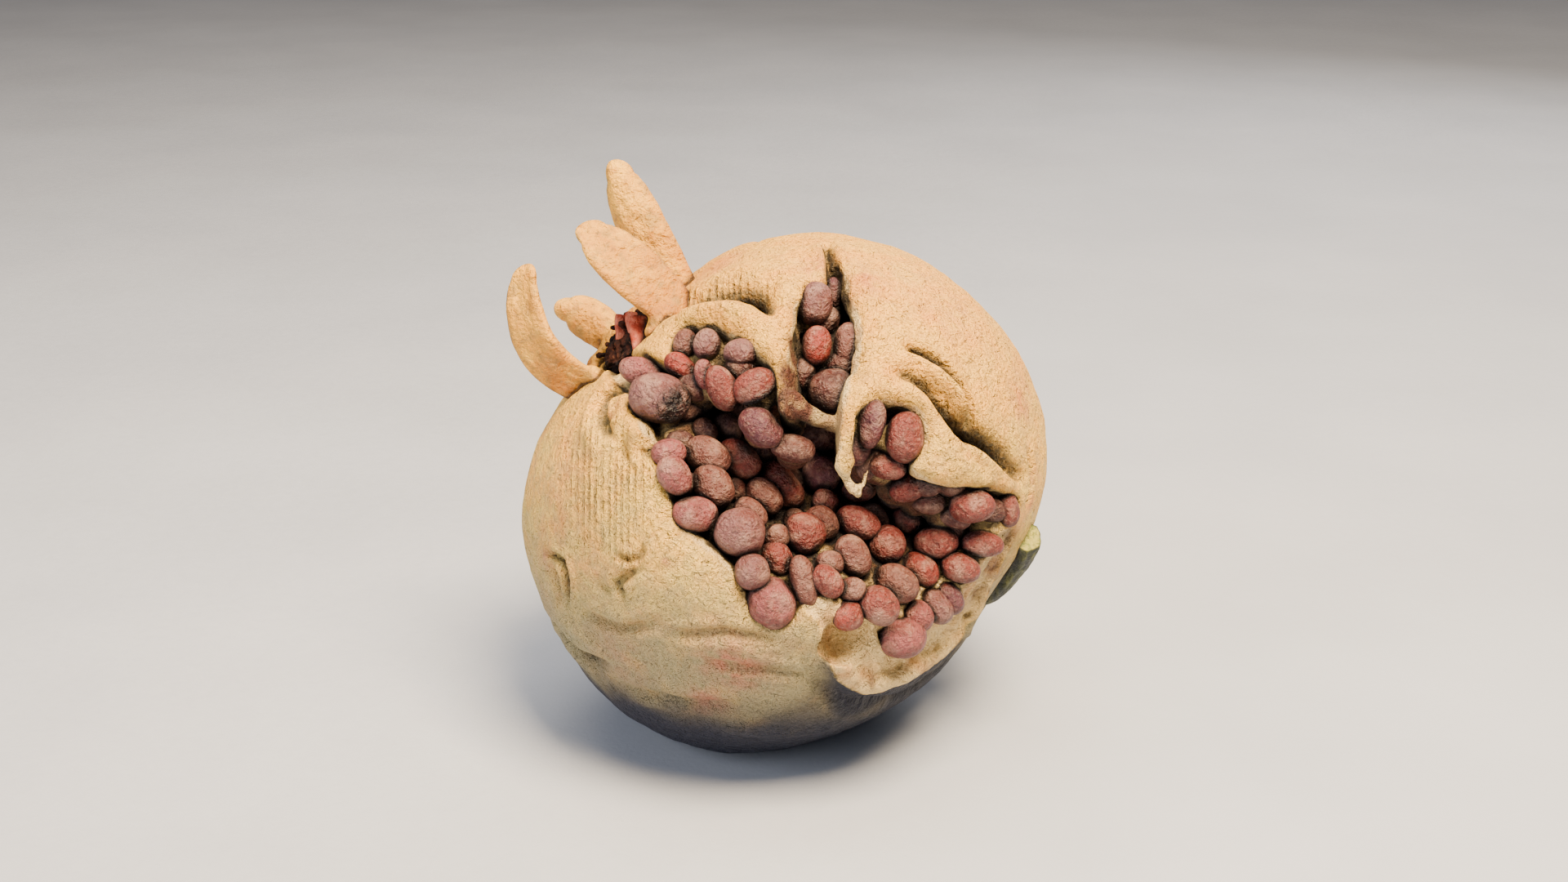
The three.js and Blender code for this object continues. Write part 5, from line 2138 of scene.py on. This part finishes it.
@dataclass(frozen=True)
class RindSkin(Finish):
    """Leathery fruit skin over pale spongy pith: waxy, matt, with fine pores and dried ribs."""

    marks: ClassVar[tuple[str, ...]] = (
        "occlusion_shade", "pith", "deep", "blush", "stain", "sunk", "ground", "belly", "crest",
        "ribs", "hatch",
    )
    cream: str = "#FFC450"
    straw: str = "#F4CE62"
    peach: str = "#F4AC4C"
    khaki: str = "#CDB06C"
    # the warmer colour painted on the lit top
    honey: str = "#FFAC1E"
    rose: str = "#C8584A"
    # painted shade over the belly
    belly_shade_grey: str = "#8E8868"
    olive: str = "#665A3C"
    # painted shade where the skin is most closed in
    occlusion_shade_brown: str = "#2E2210"
    pith: str = "#EECD8A"
    rust: str = "#B47240"
    wine: str = "#5A3224"
    # painted shade of the pith, deeper below the skin
    pulp: str = "#48200F"
    # painted shade, near black, deep inside where it is closed in
    dark: str = "#120706"
    # painted shade on the underside and painted shadow under the torn lip
    shadow: str = "#12182E"

    def looks(self, add: Callable, place: Socket, marks: list[Socket]) -> tuple:
        """Blotched skin, pith where it is torn, olive grime and painted shade in creases and below.

        Args:
            add: Adds a node to the material.
            place: Places in millimetres.
            marks: What is painted on the mesh.

        Returns:
            The colour, and the bump layers with their relief.
        """
        occlusion_shade, pith, deep, blush, stain, sunk, ground, belly, crest, ribs, hatch = marks
        # slow blotches of 20 mm and flecks of 2 mm, as the skin has ripened unevenly; pores a
        # third of a millimetre across, drawn at three quarters so that they show
        pore = patches(add, place, 0.9, 0.58, 0.74, 0.4)
        skin = coated(add, self.cream, [
            (patches(add, place, 18.0, 0.42, 0.6, 0.7), self.peach),
            (patches(add, place, 7.0, 0.42, 0.6, 0.85), self.straw),
            (patches(add, place, 1.6, 0.5, 0.72, 0.22), self.rose),
            (patches(add, place, 2.6, 0.46, 0.64, 0.5), self.khaki),
            (patches(add, place, 1.1, 0.5, 0.7, 0.4), self.straw),
            (pore, self.olive),
            # painted light: a warmer colour on the top, where the light falls strongest
            ((crest, 0.45), self.honey),
            # painted shade, grey-brown and patchy, over the lower half
            ((belly, patches(add, place, 5.0, -0.3, 0.45, 0.9)), self.belly_shade_grey),
            ((blush, patches(add, place, 3.0, 0.3, 0.6, 0.55)), self.rose),
        ])
        # torn pith, browned where the air has dried it, wine red where it carried seeds, and darker
        # towards pulp brown the deeper it lies, as painted shade
        flesh = coated(add, self.pith, [
            (patches(add, place, 5.0, 0.47, 0.7, 0.6), self.rust),
            (deep, self.pulp),
        ])
        grit = patches(add, place, 1.2, 0.25, 0.65)
        # creases and closed-in places turn olive, as dirt and painted shade
        dirt_and_shade = add("MapRange", (add("Math", (occlusion_shade, sunk), operation="ADD"), 0.1, 0.75, 0.0, 0.95))
        colour = coated(add, skin, [
            (pith, flesh),
            ((stain, patches(add, place, 2.4, 0.1, 0.5)), self.wine),
            ((dirt_and_shade, add("MapRange", (grit, 0.0, 1.0, 0.55, 1.0))), self.olive),
            # painted shade, dark brown, where the skin is most closed in
            (add("MapRange", (occlusion_shade, 0.38, 0.78, 0.0, 0.9)), self.occlusion_shade_brown),
            # painted shade, near black, deep inside where it is closed in
            ((deep, add("MapRange", (occlusion_shade, 0.25, 0.7))), self.dark),
            # painted shade on the underside and painted shadow under the torn lip
            (ground, self.shadow),
        ])
        # dried ribs 1.2 mm apart run down the skin, and finer wrinkles across its folds, their grooves
        # painted olive as shade; a wave's bands lie 0.314 mm apart at a scale of 1
        down = add("Mapping", (place, None, None, (1.0, 0.08, 0.4)))
        across = add("Mapping", (place, None, (0.0, 0.0, math.radians(37)), (1.0, 0.14, 0.5)))
        bands = add("TexWave", {"Vector": down, "Scale": 0.26, "Distortion": 4.0, "Detail": 3.0}, "Fac")
        broken = patches(add, down, 3.0, 0.3, 0.5)
        times = functools.partial(add, "Math", operation="MULTIPLY")
        rib = times((times((ribs, add("MapRange", (bands, 0.45, 0.95)))), broken))
        wrinkle = times((hatch, patches(add, across, 0.9, 0.4, 0.6)))
        colour = coated(add, colour, [
            ((rib, 0.7), self.olive),
            ((wrinkle, 0.7), self.olive),
        ])
        leather = add("TexNoise", (place, 1 / 1.1, 3.0, 0.7))
        dints = add("TexNoise", (place, 1 / 2.4, 4.0, 0.6))
        return colour, [(dints, 2.0), (rib, -1.2), (wrinkle, -1.0), (leather, 2.0), (pore, -0.5)]


@dataclass(frozen=True)
class ArilFlesh(Finish):
    """Drying juicy seed coats: satin, finely stippled, with painted shade where they touch."""

    marks: ClassVar[tuple[str, ...]] = ("occlusion_shade", "low", "charred")
    bloom: str = "#A4806E"
    stain: str = "#561C12"
    # painted shade on the lower sides
    lower: str = "#48180E"
    # near black, for charred patches and for painted shade where seeds touch
    char_and_contact_shade: str = "#190A08"
    speck: str = "#3A1E18"

    def looks(self, add: Callable, place: Socket, marks: list[Socket]) -> tuple:
        """The seed's own tint, mottled, with a powdery bloom, charred patches and painted shade.

        Args:
            add: Adds a node to the material.
            place: Places in millimetres.
            marks: What is painted on the mesh.

        Returns:
            The colour, and the bump layers with their relief.
        """
        occlusion_shade, low, charred = marks
        tint = add("Attribute", out="Color", attribute_name="tint")
        # a stipple of half a millimetre, from the drying skin
        stipple = patches(add, place, 0.6, 0.5, 0.7)
        colour = coated(add, tint, [
            (patches(add, place, 3.2, 0.44, 0.68, 0.6), self.stain),
            (patches(add, place, 3.8, 0.5, 0.7, 0.55), self.bloom),
            # painted shade on each seed's lower side
            ((low, 0.55), self.lower),
            (patches(add, place, 0.9, 0.52, 0.72, 0.35), self.bloom),
            ((stipple, 0.6), self.speck),
            ((charred, patches(add, place, 1.4, 0.3, 0.55)), self.char_and_contact_shade),
            # painted shade where the seeds touch and are closed in
            (add("MapRange", (occlusion_shade, 0.18, 0.86, 0.0, 0.97)), self.char_and_contact_shade),
        ])
        rough = add("TexNoise", (place, 1 / 0.55, 3.0, 0.6))
        lumps = add("TexNoise", (place, 1 / 1.8, 3.0, 0.6))
        crust = add("Math", (charred, lumps), operation="MULTIPLY")
        return colour, [(lumps, 1.0), (rough, 0.6), (crust, 2.5)]


@dataclass(frozen=True)
class SepalLeather(Finish):
    """Thick leathery calyx: smooth and waxy outside, orange where the sun dried it."""

    marks: ClassVar[tuple[str, ...]] = ("occlusion_shade", "height", "outer")
    pale: str = "#F6B83A"
    tan: str = "#CE8E2A"
    orange: str = "#B06C1C"
    # painted shade where the calyx is closed in
    dark: str = "#1F120A"
    olive: str = "#7A6640"

    def looks(self, add: Callable, place: Socket, marks: list[Socket]) -> tuple:
        """Mottled tan, paler at the tips and edges, with painted shade where lobes meet the skin.

        Args:
            add: Adds a node to the material.
            place: Places in millimetres.
            marks: What is painted on the mesh.

        Returns:
            The colour, and the bump layers with their relief.
        """
        occlusion_shade, high, outer = marks
        colour = coated(add, self.tan, [
            (patches(add, place, 6.0, 0.38, 0.62), self.pale),
            ((outer, patches(add, place, 5.0, 0.3, 0.6)), self.orange),
            ((high, 0.45), self.pale),
            (patches(add, place, 2.2, 0.5, 0.7, 0.6), self.orange),
            (patches(add, place, 3.0, 0.52, 0.68, 0.5), self.olive),
            (patches(add, place, 1.0, 0.54, 0.7, 0.55), self.olive),
            # painted shade where the calyx is closed in
            (add("MapRange", (occlusion_shade, 0.2, 0.7, 0.0, 0.92)), self.dark),
        ])
        grain = add("TexNoise", (place, 1 / 0.7, 3.0, 0.6))
        dints = add("TexNoise", (place, 1 / 2.6, 3.0, 0.6))
        return colour, [(dints, 1.2), (grain, 0.6)]


@dataclass(frozen=True)
class DriedStamen(Finish):
    """Dried stamens: dark, crumpled and dull, with red straps among them."""

    marks: ClassVar[tuple[str, ...]] = ("occlusion_shade", "strap")
    brown: str = "#38190F"
    black: str = "#0C0608"
    tan: str = "#8E5E3E"
    red: str = "#9C3E2C"
    pink: str = "#CC7A62"

    def looks(self, add: Callable, place: Socket, marks: list[Socket]) -> tuple:
        """Brown to black threads, and straps of red to pink, with painted shade where closed in.

        Args:
            add: Adds a node to the material.
            place: Places in millimetres.
            marks: What is painted on the mesh.

        Returns:
            The colour, and the bump layers with their relief.
        """
        occlusion_shade, strap = marks
        thread = coated(add, self.black, [
            (patches(add, place, 1.8, 0.4, 0.62), self.brown),
            (patches(add, place, 0.9, 0.6, 0.76, 0.4), self.tan),
        ])
        ribbon = coated(add, self.red, [(patches(add, place, 2.4, 0.4, 0.62), self.pink)])
        colour = coated(add, thread, [
            (strap, ribbon),
            # painted shade where the threads are closed in
            (add("MapRange", (occlusion_shade, 0.4, 0.95, 0.0, 0.9)), self.black),
        ])
        return colour, [(add("TexNoise", (place, 1 / 0.8, 4.0, 0.6)), 0.8)]


@dataclass(frozen=True)
class StemBark(Finish):
    """Green woody stem: dull fibrous bark and a pale cut end."""

    marks: ClassVar[tuple[str, ...]] = ("occlusion_shade", "root", "cut")
    green: str = "#3E4420"
    shade: str = "#1C2426"
    light: str = "#7C783C"
    wood: str = "#A8A048"
    fleck: str = "#6C7430"
    # painted shade where the stem is closed in
    dark: str = "#0E1114"

    def looks(self, add: Callable, place: Socket, marks: list[Socket]) -> tuple:
        """Bark streaked along the stem, painted shade at its root and where closed in, a speckled cut.

        Args:
            add: Adds a node to the material.
            place: Places in millimetres.
            marks: What is painted on the mesh.

        Returns:
            The colour, and the bump layers with their relief.
        """
        occlusion_shade, root, cut = marks
        streak = add("TexNoise", (add("Mapping", (place, None, None, (1.0, 0.3, 0.3))), 1 / 1.2, 4.0))
        bark = coated(add, self.shade, [
            (add("MapRange", (streak, 0.38, 0.62)), self.green),
            (add("MapRange", (streak, 0.56, 0.74, 0.0, 0.8)), self.light),
            # painted shade at the foot of the stem
            ((root, 0.8), self.shade),
        ])
        wood = coated(add, self.wood, [(patches(add, place, 0.8, 0.45, 0.66), self.fleck)])
        colour = coated(add, bark, [
            (cut, wood),
            # painted shade where the stem is closed in
            (add("MapRange", (occlusion_shade, 0.3, 0.8, 0.0, 0.85)), self.dark),
        ])
        return colour, [(streak, 0.8), (add("TexNoise", (place, 1 / 0.5, 3.0)), 0.35)]


@dataclass(frozen=True)
class StudioFloor(Finish):
    """Painted board: plain, pale and matt, with a breath of unevenness."""

    light: str = "#B8BCC6"
    grey: str = "#B0B4BE"

    def looks(self, add: Callable, place: Socket, marks: list[Socket]) -> tuple:
        """A nearly even pale grey."""
        colour = coated(add, self.light, [(patches(add, place, 60.0, 0.3, 0.7), self.grey)])
        return colour, [(add("TexNoise", (place, 1 / 0.8)), 0.04)]


# -------------------- the studio


@dataclass(frozen=True)
class SoftLight:
    """A soft lamp: where it stands, how large it is and how strong, all in metres and watts."""

    name: str
    place: Point
    size: float
    power: float
    colour: str = "#FFFFFF"


@dataclass
class Studio:
    """The floor, the lights and the camera."""

    floor_size: float = 6.0
    eye_distance: float = 420.0  # from the middle of the body, straight out of the torn face
    lens: float = 50.4
    sensor: float = 36.0
    shift: Place = (-0.00104, 0.0323)
    sky: str = "#DEE6F4"
    sky_strength: float = 0.17
    lights: tuple[SoftLight, ...] = (
        SoftLight("key", (0.16, -0.3, 0.68), 0.3, 26.0, "#FFE4BC"),
        SoftLight("fill", (-0.6, -0.55, 0.35), 0.6, 6.0, "#F2F4FA"),
        SoftLight("top", (-0.1, 0.12, 0.7), 0.5, 4.0, "#FFF6E8"),
        SoftLight("back", (0.35, 0.6, 0.4), 0.5, 2.5, "#FFF8F0"),
    )

    def build(self) -> None:
        """Sets up the studio round the fruit."""
        half = self.floor_size / 2
        mesh = bpy.data.meshes.new("floor")
        corners = [(-half, -half, 0), (half, -half, 0), (half, half, 0), (-half, half, 0)]
        mesh.from_pydata(corners, [], [(0, 1, 2, 3)])
        mesh.materials.append(StudioFloor("painted_board").material())
        floor = bpy.data.objects.new("floor", mesh)
        bpy.context.scene.collection.objects.link(floor)
        floor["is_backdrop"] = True
        for light in self.lights:
            self._lamp(light)
        world = bpy.data.worlds.new("studio")
        bpy.context.scene.world = world
        world.use_nodes = True
        background = world.node_tree.nodes["Background"]
        background.inputs["Color"].default_value = (*linear(self.sky), 1.0)
        background.inputs["Strength"].default_value = self.sky_strength
        self._camera()

    def _lamp(self, light: SoftLight) -> None:
        """A square soft lamp that looks at the fruit.

        Args:
            light: The lamp's place, size and strength.
        """
        data = bpy.data.lights.new(light.name, "AREA")
        data.size = light.size
        data.energy = light.power
        data.color = linear(light.colour)
        lamp = bpy.data.objects.new(light.name, data)
        lamp.location = light.place
        aim = np.array([0, 0, FACE.centre_height * METRES]) - np.array(light.place)
        flat = math.hypot(aim[0], aim[1])
        lamp.rotation_euler = (math.atan2(flat, -aim[2]), 0, math.atan2(aim[1], aim[0]) - math.pi / 2)
        bpy.context.scene.collection.objects.link(lamp)

    def _camera(self) -> None:
        """Looks straight at the torn face."""
        data = bpy.data.cameras.new("camera")
        data.lens = self.lens
        data.sensor_width = self.sensor
        data.shift_x, data.shift_y = self.shift
        camera = bpy.data.objects.new("camera", data)
        camera.location = FACE.to_part(np.array([[0, 0, self.eye_distance]]))[0]
        camera.rotation_euler = (math.radians(90 - FACE.tilt_deg), 0, 0)
        bpy.context.scene.collection.objects.link(camera)
        bpy.context.scene.camera = camera


# -------------------- the fruit


def main() -> None:
    """Builds the fruit, piece by piece, and the studio round it."""
    logging.basicConfig(level=logging.INFO, format="%(relativeCreated)6d ms %(message)s", stream=sys.stdout)
    body, tear = Body(), Tear()
    bed = Bed(body, tear)
    store = SeedStore(body, bed)
    clusters = {Seeds.BASIN: store.basin()}
    clusters |= {cluster: store.hanging(cluster) for cluster in HANGING_SEEDS}
    placed = [seed for seeds in clusters.values() for seed in seeds]
    filler = store.filler(placed, np.array(tear.mouth))
    bed.press(clusters[Seeds.BASIN] + filler)
    hanging = [seed for cluster in HANGING_SEEDS for seed in clusters[cluster]]
    rind = Rind(body, tear, bed, Chart(body), hanging)
    everyone = placed + filler
    mount("torn_rind", rind.build(everyone), RindSkin("pomegranate_rind"), ["rind"])

    flesh = ArilFlesh("drying_aril_skin", 0.46, 0.45)
    grain = Grain(3)
    basin = clusters.pop(Seeds.BASIN)
    lower = [seed for seed in basin if seed.up < LOW_SEEDS_BELOW]
    upper = [seed for seed in basin if seed.up >= LOW_SEEDS_BELOW]
    groups = [("seeds_basin_low", Seeds.BASIN, lower, 15), ("seeds_basin_high", Seeds.BASIN, upper, 15)]
    groups.append(("seeds_basin_under", Seeds.BASIN, filler, 9))
    groups += [(c.value.replace("arils", "seeds"), c, seeds, 15) for c, seeds in clusters.items()]
    for name, node, seeds, sides in groups:
        cluster = ArilCluster(name, seeds, sides)
        mount(name, cluster.build(everyone, rind.field, grain), flesh, [node.value])

    calyx = Calyx(rind)
    mount("crown_calyx", calyx.build(rind.field), SepalLeather("calyx_leather"), ["calyx"])

    def crown_room(at: Array) -> Array:
        """The rind and the calyx round the stamens."""
        at = at.astype(np.float32)
        return np.minimum(rind.field(at), calyx.field(at))

    mount("dry_stamens", Stamens(rind).build(crown_room), DriedStamen("dried_stamen_threads", 0.75, 0.2),
          ["stamens"])
    mount("cut_stem", Stem(grain).build(rind.field), StemBark("fibrous_stem_bark"),
          ["stem"])
    Studio().build()
    sizes = {"cad": CAD_BOX, "visual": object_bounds()}
    {k: [list(corner) for corner in box] for k, box in sizes.items()}


if __name__ == "__main__":
    main()
